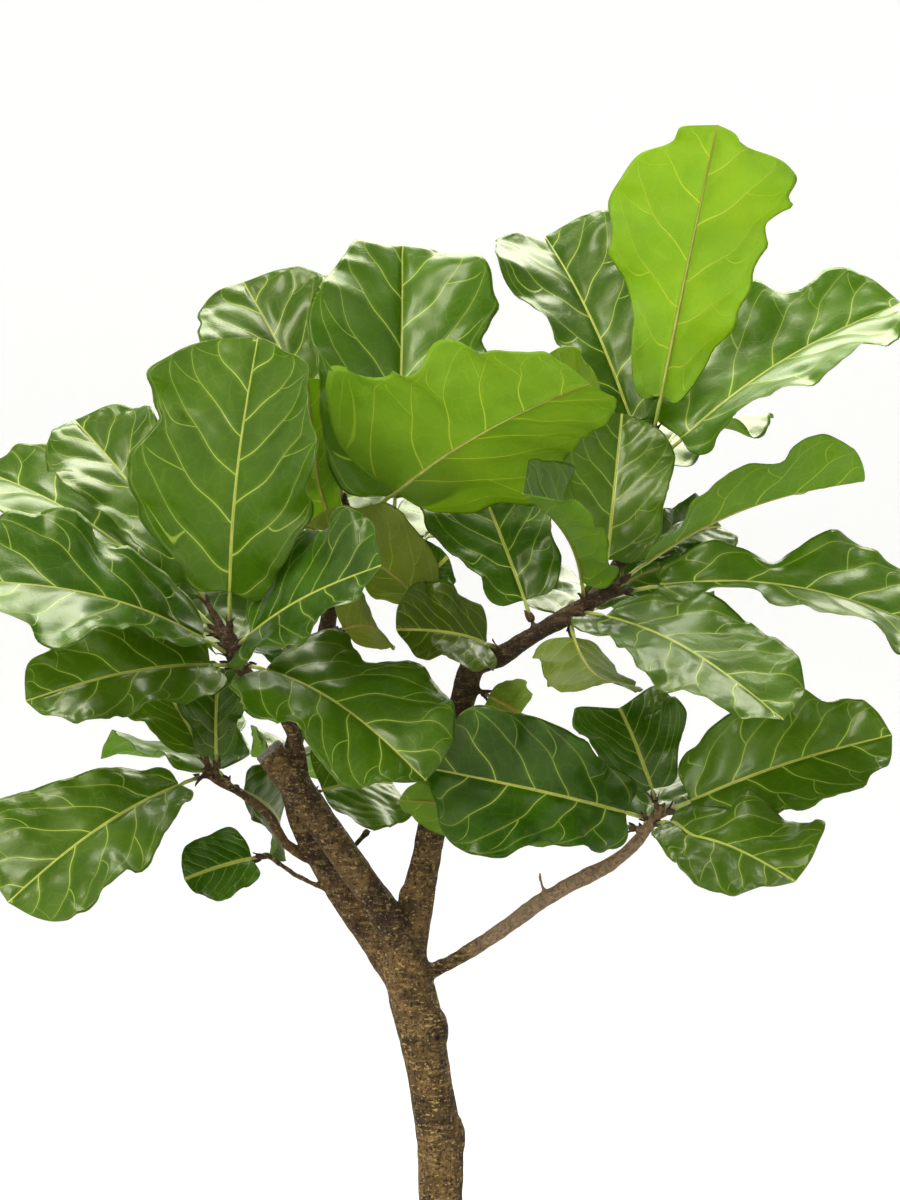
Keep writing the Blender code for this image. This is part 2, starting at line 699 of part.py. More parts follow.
def leaf_rings(leaf, phase):
    """All rings of a leaf from stalk to tip, then the tip itself."""
    at, length = midrib(leaf)
    rings = []
    for share, swell in STALK_RINGS:
        centre, direction, up = at(share * STALK_SHARE)
        rings.append(stalk_ring(centre, direction.cross(up), up, STALK_RADIUS * swell))
    blade = 1 - STALK_SHARE
    for (along, lead), width in zip(STATIONS, FORMS[leaf.form]):
        centre, direction, up = at(STALK_SHARE + blade * along)
        frame = (direction, direction.cross(up), up)
        if leaf.form == "heart":
            lead += HEART_LEAD * along**6
        rings.append(
            blade_ring(leaf, centre, along, frame, width * leaf.width / 2, lead * blade * length, phase)
        )
    return rings, at(1)[0]


def build_leaf(leaf, look, collection, phase):
    """A closed loft through the leaf's rings, with a shallow dimple in the stalk's end.

    The quads above and below are cut along matching diagonals, so the two faces stay parallel.
    """
    rings, tip = leaf_rings(leaf, phase)
    edit = bmesh.new()
    rows = [[edit.verts.new(p) for p in ring] for ring in rings]
    base = sum(rings[0], Vector()) / RING_POINTS
    dimple = edit.verts.new(base + (sum(rings[1], Vector()) / RING_POINTS - base).normalized() * GAP)
    point = edit.verts.new(tip)
    for i in range(RING_POINTS):
        j = (i + 1) % RING_POINTS
        edit.faces.new((dimple, rows[0][i], rows[0][j]))
        edit.faces.new((point, rows[-1][j], rows[-1][i]))
        for row, following in zip(rows, rows[1:]):
            if i < RING_POINTS // 2:
                edit.faces.new((row[i], following[j], row[j]))
                edit.faces.new((row[i], following[i], following[j]))
            else:
                edit.faces.new((row[i], following[i], row[j]))
                edit.faces.new((row[j], following[i], following[j]))
    mesh = bpy.data.meshes.new(leaf.name)
    edit.to_mesh(mesh)
    edit.free()
    mesh.shade_smooth()
    mesh.materials.append(look)
    return link(bpy.data.objects.new(leaf.name, mesh), collection)


def main():
    for obj in list(bpy.data.objects):
        bpy.data.objects.remove(obj)
    plant = new_collection("potted_fiddle_leaf_fig")
    pieces = new_collection("wood_pieces")
    build_pot(material("pot_ceramic", (0.72, 0.70, 0.66), 0.55), plant)
    build_soil(material("soil", (0.06, 0.04, 0.025), 0.95), plant)
    build_wood(material("bark", (0.16, 0.11, 0.07), 0.85), plant, pieces)
    green = material("leaf", (0.07, 0.20, 0.03), 0.4)
    for index, leaf in enumerate(LEAVES):
        build_leaf(leaf, green, plant, phase=PHASE_STEP * index)


main()
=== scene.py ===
"""Looks for the potted fiddle leaf fig: veined waxy leaves, rough bark, bark-chip soil and a stoneware pot.

Each CAD leaf is a closed tube of eight-point rings. Its rings are read back here, and a fine leaf with
real thickness, raised veins and a rippled margin is laid over them.
"""

import math

import bmesh
import bpy
import numpy as np
from mathutils import Matrix, Vector, noise


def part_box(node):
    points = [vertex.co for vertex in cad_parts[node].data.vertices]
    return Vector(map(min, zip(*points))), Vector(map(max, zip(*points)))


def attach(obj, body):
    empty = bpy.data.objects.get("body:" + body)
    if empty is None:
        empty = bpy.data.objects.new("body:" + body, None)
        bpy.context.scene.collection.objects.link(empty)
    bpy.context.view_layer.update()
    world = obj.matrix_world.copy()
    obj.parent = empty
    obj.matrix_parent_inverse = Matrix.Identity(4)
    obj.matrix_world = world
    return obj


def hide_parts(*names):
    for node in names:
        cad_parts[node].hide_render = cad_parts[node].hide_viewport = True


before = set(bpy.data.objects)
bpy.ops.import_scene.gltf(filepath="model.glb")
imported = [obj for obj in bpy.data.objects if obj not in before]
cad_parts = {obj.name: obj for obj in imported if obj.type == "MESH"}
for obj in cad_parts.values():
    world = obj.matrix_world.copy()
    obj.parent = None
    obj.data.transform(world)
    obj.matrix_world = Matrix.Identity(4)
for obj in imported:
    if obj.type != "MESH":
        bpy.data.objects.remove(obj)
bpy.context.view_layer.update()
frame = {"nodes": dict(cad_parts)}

SEED = 11

# ---------------------------------------------------------------- leaves: sizes

RING_POINTS = 8  # vertices in each ring of a CAD leaf
STALK_RINGS = 3  # rings of the CAD leaf that belong to its stalk
ROW_PITCH = 0.0032  # metres between rows along a blade
MIN_ROWS = 48
SIDE_COLUMNS = 26  # from the midrib to one margin
COLUMN_CROWDING = 1.35  # columns are closer together near the midrib
LAMINA = 0.0007  # thickness of the blade at the midrib
LAMINA_EDGE = 0.0003  # and at the margin
FULL_LENGTH = 0.28  # of a full-grown blade: shorter ones ripple less and have thinner ribs
LATERALS = 5.6  # lateral veins along each side
LATERAL_SLOPE = 0.74  # how far a lateral runs forward for each step outwards
LATERAL_CURVE = 0.75  # how much more it does so further out
LATERAL_LOOP = 0.10  # how far it turns forward again along the margin
QUILT = 0.0021  # how far the blade swells between laterals
QUILT_LENGTH = 0.25  # shorter blades swell less
GROOVE_WIDTH = 0.004  # of the dip along the midrib
GROOVE_DEPTH = 0.0006
RIPPLE = 0.0038  # height of the waves along a margin
RIPPLE_WAVES = ((4.3, 1.0), (7.7, 0.5), (14, 0.2))  # (waves in a blade's length, share of the height)
CRUMPLE = 0.0012  # gentle unevenness all over the blade
CRUMPLE_WAVES = (9, 17, 31)  # per metre, each lower than the one before
NIBBLES = 7  # random lobes and dents along each margin
NIBBLE_SHARE = 0.075  # of the half width
GROWN_LENGTH = 0.24  # shorter blades have fewer and weaker lobes

# Lobes and dents of single leaves: (side, place along the blade, spread, share of the half width).
MARGINS = {
    "crown_sunlit": (
        (-1, 0.73, 0.022, 0.14),
        (-1, 0.66, 0.030, -0.06),
        (-1, 0.84, 0.050, 0.08),
        (-1, 0.95, 0.035, -0.45),
        (1, 0.90, 0.050, -0.30),
        (1, 0.97, 0.020, 0.12),
        (1, 0.62, 0.060, 0.08),
        (1, 0.30, 0.080, -0.10),
    ),
    "upper_tall": (
        (1, 0.44, 0.030, 0.24),
        (1, 0.56, 0.030, -0.08),
        (1, 0.68, 0.035, 0.08),
        (-1, 0.95, 0.050, 0.25),
    ),
    "upper_bright": ((1, 0.22, 0.100, 0.24), (1, 0.48, 0.070, -0.12), (1, 0.68, 0.060, -0.08)),
    "left_tall": (
        (-1, 0.13, 0.120, -0.32),
        (1, 0.11, 0.100, -0.24),
        (-1, 0.50, 0.040, 0.07),
        (-1, 0.62, 0.035, -0.07),
        (-1, 0.78, 0.045, 0.10),
        (1, 0.90, 0.050, 0.14),
    ),
    "front_cup": ((-1, 0.16, 0.05, 0.14), (-1, 0.30, 0.05, -0.10), (1, 0.85, 0.06, 0.10)),
    "low_right": ((-1, 0.45, 0.05, 0.04), (-1, 0.72, 0.06, -0.22), (1, 0.80, 0.06, -0.12)),
    "low_front": ((1, 0.70, 0.05, 0.04), (-1, 0.85, 0.06, 0.10)),
    "right_under": ((-1, 0.84, 0.05, 0.16), (-1, 0.66, 0.05, -0.12)),
    "crown_right": ((-1, 0.58, 0.04, 0.14), (-1, 0.74, 0.05, -0.10)),
}
# How far, in metres, a blade is drawn aside so that its fine surface clears its neighbour.
LEANS = {
    "low_front": (-0.007, -0.014, -0.014),
    "low_heart": (-0.003, 0.000, 0.004),
    "upper_bright": (-0.002, -0.004, 0.001),
    "left_lime": (0.000, -0.003, -0.004),
    "upper_lime": (-0.008, -0.006, 0.004),
}
LEAN_SHARE = 0.30  # of the blade's length, over which the lean comes in
# (how yellow, how olive) a leaf is, both from 0 to 1. The rest differ at random.
TONES = {
    "crown_sunlit": (1.0, 0.0),
    "crown_small": (0.8, 0.3),
    "crown_right": (0.45, 0.0),
    "left_broad": (0.15, 0.0),
    "upper_bright": (0.75, 0.1),
    "upper_lime": (0.9, 0.0),
    "left_lime": (0.9, 0.35),
    "right_folded": (0.55, 0.0),
    "right_under": (0.35, 0.1),
    "right_hanging": (0.15, 0.75),
    "centre_lime": (0.1, 0.8),
    "centre_droop": (0.6, 0.85),
    "centre_shaded": (0.8, 1.0),
    "centre_hanging": (0.4, 0.6),
    "centre_small": (0.0, 0.1),
    "low_broad": (0.0, 0.0),
    "low_heart": (0.0, 0.1),
    "right_dark": (0.0, 0.15),
    "low_lime": (0.5, 0.1),
}
STALK_SIDES = 12
STALK_ROWS = 14
STEADY = (0.3, 0.2, 1.0)  # a direction that no stalk follows, to start its first ring from
RIB_ROWS = 44
RIB_RADIUS = 0.0019
RIB_TIP_RADIUS = 0.0004
RIB_SUNK = 0.35  # share of the rib's radius that lies inside the blade


def linked(name, data):
    """A new object in the scene."""
    obj = bpy.data.objects.new(name, data)
    bpy.context.scene.collection.objects.link(obj)
    return obj


def world_points(obj):
    """A node's vertices and triangles, with the vertices that share a place made one."""
    mesh = obj.data
    mesh.calc_loop_triangles()
    places = np.empty(len(mesh.vertices) * 3)
    mesh.vertices.foreach_get("co", places)
    corners = np.empty(len(mesh.loop_triangles) * 3, dtype=np.int64)
    mesh.loop_triangles.foreach_get("vertices", corners)
    places = places.reshape(-1, 3)
    keys = np.round(places * 1e6).astype(np.int64)
    _, first, index = np.unique(keys, axis=0, return_index=True, return_inverse=True)
    return places[first], index.ravel()[corners].reshape(-1, 3)


def neighbours(count, triangles):
    """For each vertex, the set of vertices that share an edge with it."""
    near = [set() for _ in range(count)]
    for a, b, c in triangles:
        near[a] |= {b, c}
        near[b] |= {a, c}
        near[c] |= {a, b}
    return near


def in_order(ring, near, start, second):
    """The ring's vertices in order round it."""
    order = [start, second]
    members = set(ring)
    while len(order) < len(ring):
        order.append(next(v for v in near[order[-1]] & members if v not in order[-2:]))
    return order


def leaf_rings(obj):
    """(rings, tip) of a CAD leaf: rings from stalk to tip, each from the right margin over the top."""
    places, triangles = world_points(obj)
    near = neighbours(len(places), triangles)
    poles = [v for v in range(len(places)) if len(near[v]) == RING_POINTS]

    def spread(pole):
        ring = places[list(near[pole])]
        return np.ptp(ring, axis=0).max()

    base, tip = sorted(poles, key=spread)
    layers = [near[base]]
    seen = {base} | near[base]
    while tip not in layers[-1]:
        following = set().union(*(near[v] for v in layers[-1])) - seen
        seen |= following
        layers.append(following)
    layers.pop()

    ordered = []
    for ring, following in zip(layers, layers[1:]):
        right = next(v for v in ring if len(near[v] & following) == 3)
        sides = sorted(near[right] & ring)
        if ordered:
            upper = ordered[-1][1]
            sides.sort(key=lambda v: v not in near[upper])
        ordered.append(in_order(ring, near, right, sides[0]))
    right = next(v for v in layers[-1] if v in near[ordered[-1][0]] and len(near[v] & set(ordered[-1])) == 1)
    sides = sorted(near[right] & layers[-1], key=lambda v: v not in near[ordered[-1][1]])
    ordered.append(in_order(layers[-1], near, right, sides[0]))

    rings = places[np.array(ordered)]
    middle = rings[STALK_RINGS + 3]
    flat = (middle[1] + middle[3] + middle[5] + middle[7]) / 4
    if np.linalg.norm(middle[2] - flat) > np.linalg.norm(middle[6] - flat):
        rings = rings[:, [0, 7, 6, 5, 4, 3, 2, 1]]
    return rings, places[tip]


def catmull_rom(rows, steps):
    """Points on the curves through rows; the first and last rows only steer the ends."""
    last = len(rows) - 4
    cell = np.clip(np.floor(steps).astype(int), 0, last)
    t = (steps - cell)[:, None, None]
    a, b, c, d = rows[cell], rows[cell + 1], rows[cell + 2], rows[cell + 3]
    return 0.5 * (
        2 * b + (c - a) * t + (2 * a - 5 * b + 4 * c - d) * t**2 + (3 * b - a - 3 * c + d) * t**3
    )


def blade_columns(rings, tip, sharpness):
    """Five columns of the blade's middle surface from left to right, with a steering row at each end."""
    blade = rings[STALK_RINGS:]
    up = blade[:, 2] - blade[:, 6]
    up /= np.linalg.norm(up, axis=1)[:, None]
    half = np.linalg.norm(blade[:, 3] - blade[:, 5], axis=1)[:, None] / 2
    columns = np.stack(
        [
            blade[:, 4],
            (blade[:, 3] + blade[:, 5]) / 2,
            blade[:, 2] - up * half,
            (blade[:, 1] + blade[:, 7]) / 2,
            blade[:, 0],
        ],
        axis=1,
    )
    point = np.repeat(tip[None, None], 5, axis=1)
    before = 2 * columns[:1] - columns[1:2]
    blunt = columns[-1:, ::-1]
    sharp = 2 * point - columns[-1:].mean(axis=1, keepdims=True)
    return np.concatenate([before, columns, point, blunt + (sharp - blunt) * sharpness])


def unit_rows(vectors):
    """The vectors with length one."""
    length = np.linalg.norm(vectors, axis=-1, keepdims=True)
    return vectors / np.maximum(length, 1e-9)


def grid_normals(grid):
    """Upper-face normals of a grid of points (rows along, columns left to right)."""
    along = np.gradient(grid, axis=0)
    across = np.gradient(grid, axis=1)
    along[-1] = along[-2]
    across[-1] = across[-2]
    return unit_rows(np.cross(across, along))


def running_length(points, axis):
    """Metres travelled from the first point to each point along an axis."""
    steps = np.linalg.norm(np.diff(points, axis=axis), axis=-1)
    return np.cumsum(np.concatenate([np.zeros_like(steps[:1]), steps]), axis=0)


def smooth_step(low, high, value):
    """0 up to low, 1 from high, smooth between."""
    t = np.clip((value - low) / (high - low), 0, 1)
    return t * t * (3 - 2 * t)


class Blade:
    """The fine surface of one leaf's blade and the coordinates its veins follow."""

    def __init__(self, rings, tip, margins, lean, random):
        columns = blade_columns(rings, tip, 0.15 + 0.75 * random.random())
        rough_length = np.linalg.norm(np.diff(columns[1:-1, 2], axis=0), axis=1).sum()
        rows = max(MIN_ROWS, int(rough_length / ROW_PITCH))
        end = len(columns) - 3
        steps = np.linspace(0, 1, rows + 1)
        steps = end * (0.35 * steps + 0.65 * np.sin(steps * math.pi / 2) ** 1.3)
        coarse = catmull_rom(columns, steps)
        share = np.linspace(0, 1, SIDE_COLUMNS + 1) ** COLUMN_CROWDING
        self.side = np.concatenate([-share[:0:-1], share])
        self.grid = self.across(coarse)
        self.measure()
        self.grid = self.grid + np.array(lean) * smooth_step(0, LEAN_SHARE, self.share)[..., None]
        self.shape_margins(margins, random)
        self.measure()
        self.phases(random)
        self.ripple(random)
        self.quilt(random)

    def across(self, coarse):
        """Each half is a parabola from the midrib by its inner column to its margin."""
        s = np.abs(self.side)[None, :, None]
        left = (self.side < 0)[None, :, None]
        inner = np.where(left, coarse[:, 1:2], coarse[:, 3:4])
        outer = np.where(left, coarse[:, 0:1], coarse[:, 4:5])
        middle = coarse[:, 2:3]
        return middle * (2 * (s - 0.5) * (s - 1)) - inner * (4 * s * (s - 1)) + outer * (2 * s * (s - 0.5))

    def measure(self):
        """Metres along the midrib, metres out from it, and the leaf's length."""
        middle = SIDE_COLUMNS
        self.rib = self.grid[:, middle]
        self.along = running_length(self.rib, 0)
        self.length = self.along[-1]
        self.share = self.along[:, None] / self.length
        right = running_length(self.grid[:, middle:].swapaxes(0, 1), 0).T
        left = running_length(self.grid[:, middle::-1].swapaxes(0, 1), 0).T
        self.out = np.concatenate([-left[:, :0:-1], right], axis=1)

    def shape_margins(self, margins, random):
        """Lobes and dents widen or narrow a side of the outline."""
        chance = random.random((2, NIBBLES, 3))
        grown = min(1, self.length / GROWN_LENGTH)
        marks = list(margins)
        for sign, rows in zip((-1, 1), chance):
            for place, spread, share in rows:
                spread = (0.02 + 0.05 * spread) / grown
                marks.append((sign, 0.08 + 0.88 * place, spread, NIBBLE_SHARE * grown * (2 * share - 1)))
        wider = np.ones_like(self.out)
        for sign, place, spread, share in marks:
            mark = share * np.exp(-(((self.share - place) / spread) ** 2))
            wider += np.where((self.side * sign > 0)[None], mark, 0) * np.abs(self.side)[None] ** 1.5
        self.grid = self.rib[:, None] + (self.grid - self.rib[:, None]) * wider[..., None]

    def phases(self, random):
        """Whole numbers of phase lie along lateral veins. The two sides alternate."""
        y = np.abs(self.out) / self.length
        s = np.abs(self.side)[None]
        start = self.share - LATERAL_SLOPE * y - LATERAL_CURVE * y**2 - LATERAL_LOOP * s**6
        wander = 0.08 * np.sin(2 * math.pi * (1.3 * start + random.random()))
        wander += 0.04 * np.sin(2 * math.pi * (2.1 * self.share + 1.4 * s + random.random()))
        self.phase = LATERALS * start + wander + random.random()
        self.alternate = 0.3 + 0.4 * random.random()

    def ripple(self, random):
        """Fine waves that grow towards each margin and die away at both ends."""
        edge = np.abs(self.side)[None] ** 2.2
        fade = smooth_step(0, 0.15, self.share) * (1 - smooth_step(0.92, 1, self.share))
        size = RIPPLE * min(1, self.length / FULL_LENGTH)
        height = np.zeros_like(self.out)
        for waves, share in RIPPLE_WAVES:
            for sign in (-1, 1):
                half = (self.side * sign > 0)[None]
                shift = random.random()
                height += np.where(half, share * np.sin(2 * math.pi * (waves * self.share + shift)), 0)
        self.grid = self.grid + grid_normals(self.grid) * (size * height * edge * fade)[..., None]

    def quilt(self, random):
        """The blade swells between laterals, dips along the midrib and is a little uneven."""
        phase = self.phase + np.where(self.side < 0, self.alternate, 0)[None]
        s = np.abs(self.side)[None]
        swell = np.abs(np.sin(math.pi * phase)) ** 1.3
        swell *= smooth_step(0, 0.15, s) * (1 - smooth_step(0.7, 1, s))
        groove = np.exp(-((np.abs(self.out) / GROOVE_WIDTH) ** 2))
        height = QUILT * min(1, self.length / QUILT_LENGTH) * swell - GROOVE_DEPTH * groove
        for waves in CRUMPLE_WAVES:
            turn, first, second = 2 * math.pi * random.random(3)
            path = self.along[:, None] * math.cos(turn) + self.out * math.sin(turn)
            other = self.along[:, None] * math.sin(turn) - self.out * math.cos(turn)
            lump = np.sin(2 * math.pi * waves * path + first) * np.sin(math.pi * waves * other + second)
            height = height + CRUMPLE * (CRUMPLE_WAVES[0] / waves) * lump * smooth_step(0, 0.25, s)
        end = 1 - smooth_step(0.93, 1, self.share)
        self.grid = self.grid + grid_normals(self.grid) * (height * end)[..., None]


def grid_quads(index):
    """Quads between the rows and columns of a grid of vertex numbers."""
    corners = [index[:-1, :-1], index[:-1, 1:], index[1:, 1:], index[1:, :-1]]
    return np.stack(corners, axis=-1).reshape(-1, 4)


def blade_mesh(blade):
    """(places, quads, metric uv, vein uv, is under) of a blade: two sheets that share their margins."""
    rows, columns = blade.grid.shape[:2]
    normal = grid_normals(blade.grid)
    s = np.abs(blade.side)[None]
    half = (LAMINA_EDGE + (LAMINA - LAMINA_EDGE) * (1 - s**3)) / 2
    half = np.broadcast_to(half, (rows, columns))[..., None]
    rim = np.zeros((rows, columns), bool)
    rim[:, 0] = rim[:, -1] = rim[0] = rim[-1] = True
    lift = np.where(rim[..., None], 0, normal * half)
    places = np.concatenate([(blade.grid + lift).reshape(-1, 3), (blade.grid - lift).reshape(-1, 3)])
    index = np.arange(rows * columns).reshape(rows, columns)
    under = index + rows * columns
    under[rim] = index[rim]
    top = grid_quads(index)
    bottom = grid_quads(under)[:, ::-1]

    along = np.repeat(blade.along, columns)
    out = blade.out.ravel()
    phase = blade.phase.ravel()
    side = np.tile(blade.side, rows)
    left_face = np.tile(blade.side[:-1] < 0, rows - 1)
    shift = np.where(left_face, blade.alternate, 0)[:, None]
    sheets = (top, top[:, ::-1])  # both sheets read the same grid, margins included
    metric = [np.stack([along[sheet], out[sheet]], axis=-1) for sheet in sheets]
    vein = [np.stack([phase[sheet] + shift, side[sheet]], axis=-1) for sheet in sheets]
    return (
        places,
        np.concatenate([top, bottom]),
        np.concatenate(metric).reshape(-1, 2),
        np.concatenate(vein).reshape(-1, 2),
        np.repeat([0, 1], len(top)),
    )


def stalk_line(rings, blade):
    """Centres and radii from the stalk's foot to the tip, under the blade."""
    centres = rings[:STALK_RINGS].mean(axis=1)
    radii = np.linalg.norm(rings[:STALK_RINGS] - centres[:, None], axis=2).mean(axis=1)
    normal = grid_normals(blade.grid)[:, SIDE_COLUMNS]
    pick = np.linspace(0, len(blade.rib) - 2, RIB_ROWS).astype(int)
    share = blade.along[pick] / blade.length
    size = min(1, 0.45 + 0.55 * blade.length / FULL_LENGTH)
    rib_radius = (RIB_TIP_RADIUS + (RIB_RADIUS - RIB_TIP_RADIUS) * (1 - share) ** 1.3) * size
    rib = blade.rib[pick] - normal[pick] * (rib_radius * (1 - RIB_SUNK))[:, None]
    joined = np.concatenate([centres, rib])
    radius = np.concatenate([radii, rib_radius])
    rows = np.concatenate([2 * joined[:1] - joined[1:2], joined, 2 * joined[-1:] - joined[-2:-1]])
    stalk_steps = np.linspace(0, STALK_RINGS, STALK_ROWS, endpoint=False)
    steps = np.concatenate([stalk_steps, np.arange(STALK_RINGS, len(joined))])
    line = catmull_rom(rows[:, None], steps)[:, 0]
    return line, np.interp(steps, np.arange(len(radius)), radius)


def tube_faces(rows, sides):
    """Quads of a tube of rings, open at both ends."""
    index = np.arange(rows * sides).reshape(rows, sides)
    turned = np.roll(index, -1, axis=1)
    return np.stack([index[:-1], turned[:-1], turned[1:], index[1:]], axis=-1).reshape(-1, 4)


def tube(line, radius, sides):
    """(places, quads) of a round tube whose rings don't twist."""
    tangent = unit_rows(np.gradient(line, axis=0))
    carried = np.cross(tangent[0], STEADY)
    outward = []
    for direction in tangent:
        carried = carried - direction * carried.dot(direction)
        carried = carried / np.linalg.norm(carried)
        outward.append(carried)
    side = np.array(outward)
    up = np.cross(tangent, side)
    turn = np.arange(sides) * 2 * math.pi / sides
    circle = side[:, None] * np.cos(turn)[None, :, None] + up[:, None] * np.sin(turn)[None, :, None]
    return (line[:, None] + circle * radius[:, None, None]).reshape(-1, 3), tube_faces(len(line), sides)


def set_uv(mesh, name, values):
    layer = mesh.uv_layers.new(name=name)
    layer.data.foreach_set("uv", np.asarray(values, dtype=np.float32).ravel())


def build_leaf(name, node, materials, random):
    """One leaf: its blade, and a tube that is its stalk and then its midrib."""
    rings, tip = leaf_rings(node)
    margins = MARGINS.get(node.name, ())
    lean = LEANS.get(node.name, (0, 0, 0))
    blade = Blade(rings, tip, margins, lean, random)
    places, quads, metric, vein, kind = blade_mesh(blade)
    line, radius = stalk_line(rings, blade)
    stalk_places, stalk_quads = tube(line, radius, STALK_SIDES)
    stalk_along = np.repeat(running_length(line, 0), STALK_SIDES)[stalk_quads].reshape(-1, 1)
    stalk_uv = np.concatenate([stalk_along, np.zeros_like(stalk_along)], axis=1)
    base_cap = np.arange(STALK_SIDES)[::-1]
    end_cap = np.arange(STALK_SIDES) + len(stalk_places) - STALK_SIDES
    faces = quads.tolist() + (stalk_quads + len(places)).tolist()
    faces += [(base_cap + len(places)).tolist(), (end_cap + len(places)).tolist()]
    mesh = bpy.data.meshes.new(name)
    mesh.from_pydata(np.concatenate([places, stalk_places]).tolist(), [], faces)
    kinds = np.concatenate([kind, np.full(len(stalk_quads) + 2, 2)])
    mesh.polygons.foreach_set("material_index", kinds.astype(np.int32))
    cap_uv = np.zeros((2 * STALK_SIDES, 2))
    set_uv(mesh, "metric", np.concatenate([metric, stalk_uv, cap_uv]))
    set_uv(mesh, "vein", np.concatenate([vein, stalk_uv, cap_uv]))
    chance = random.random(2) * (0.45, 0.30)
    tone = np.array(TONES.get(node.name, chance))
    set_uv(mesh, "tone", np.broadcast_to(tone, (len(mesh.loops), 2)))
    mesh.shade_smooth()
    for made in materials:
        mesh.materials.append(made)
    mesh.update()
    return linked(name, mesh)


# ---------------------------------------------------------------- node materials


class Nodes:
    """Short calls that add shader nodes and join them up."""

    def __init__(self, name):
        self.material = bpy.data.materials.new(name)
        self.material.use_nodes = True
        self.tree = self.material.node_tree
        self.tree.nodes.clear()
        self.output = self.add("ShaderNodeOutputMaterial")

    def add(self, kind, **settings):
        node = self.tree.nodes.new(kind)
        for key, value in settings.items():
            setattr(node, key, value)
        return node

    def put(self, socket, value):
        if isinstance(value, bpy.types.NodeSocket):
            self.tree.links.new(value, socket)
        elif isinstance(value, tuple) and socket.type == "RGBA":
            socket.default_value = (*value, 1)
        else:
            socket.default_value = value

    def math(self, operation, a, b=0.0):
        node = self.add("ShaderNodeMath", operation=operation)
        for socket, value in zip(node.inputs, (a, b)):
            self.put(socket, value)
        return node.outputs[0]

    def times(self, a, b):
        return self.math("MULTIPLY", a, b)

    def plus(self, a, b):
        return self.math("ADD", a, b)

    def minus(self, a, b):
        return self.math("SUBTRACT", a, b)

    def ramp(self, value, low, high, start=0.0, end=1.0):
        """start where value is at or under low, end where it is at or over high, smooth between."""
        node = self.add("ShaderNodeMapRange", interpolation_type="SMOOTHSTEP")
        for socket, number in zip(node.inputs, (value, low, high, start, end)):
            self.put(socket, number)
        return node.outputs[0]

    def mix(self, factor, a, b):
        """Colour a where factor is 0 and colour b where it is 1."""
        node = self.add("ShaderNodeMix", data_type="RGBA")
        self.put(node.inputs["Factor"], factor)
        self.put(node.inputs[6], a)
        self.put(node.inputs[7], b)
        return node.outputs[2]

    def split(self, vector):
        node = self.add("ShaderNodeSeparateXYZ")
        self.put(node.inputs[0], vector)
        return tuple(node.outputs)

    def uv(self, name):
        """A UV map as a vector, and its two values."""
        vector = self.add("ShaderNodeUVMap", uv_map=name).outputs[0]
        first, second, _ = self.split(vector)
        return vector, first, second

    def object_place(self):
        return self.add("ShaderNodeTexCoord").outputs["Object"]

    def stretched(self, vector, scale):
        node = self.add("ShaderNodeMapping")
        self.put(node.inputs["Vector"], vector)
        node.inputs["Scale"].default_value = scale
        return node.outputs[0]

    def noise(self, vector, scale, detail=4.0, roughness=0.5):
        node = self.add("ShaderNodeTexNoise")
        self.put(node.inputs["Vector"], vector)
        node.inputs["Scale"].default_value = scale
        node.inputs["Detail"].default_value = detail
        node.inputs["Roughness"].default_value = roughness
        return node.outputs["Fac"]

    def voronoi(self, vector, scale, feature="F1"):
        node = self.add("ShaderNodeTexVoronoi", feature=feature)
        self.put(node.inputs["Vector"], vector)
        node.inputs["Scale"].default_value = scale
        return node.outputs["Distance"]

    def bump(self, height, distance, strength=1.0):
        node = self.add("ShaderNodeBump")
        self.put(node.inputs["Height"], height)
        node.inputs["Distance"].default_value = distance
        node.inputs["Strength"].default_value = strength
        return node.outputs[0]

    def principled(self, **values):
        node = self.add("ShaderNodeBsdfPrincipled")
        for key, value in values.items():
            self.put(node.inputs[key.replace("_", " ")], value)
        return node.outputs[0]

    def finish(self, shader):
        self.tree.links.new(shader, self.output.inputs["Surface"])
        return self.material


GLOW_SHARE = 0.40  # of each face of a blade that lets light through
WAX_TINT = (0.97, 1.0, 0.48)  # of the light that the waxy upper face reflects


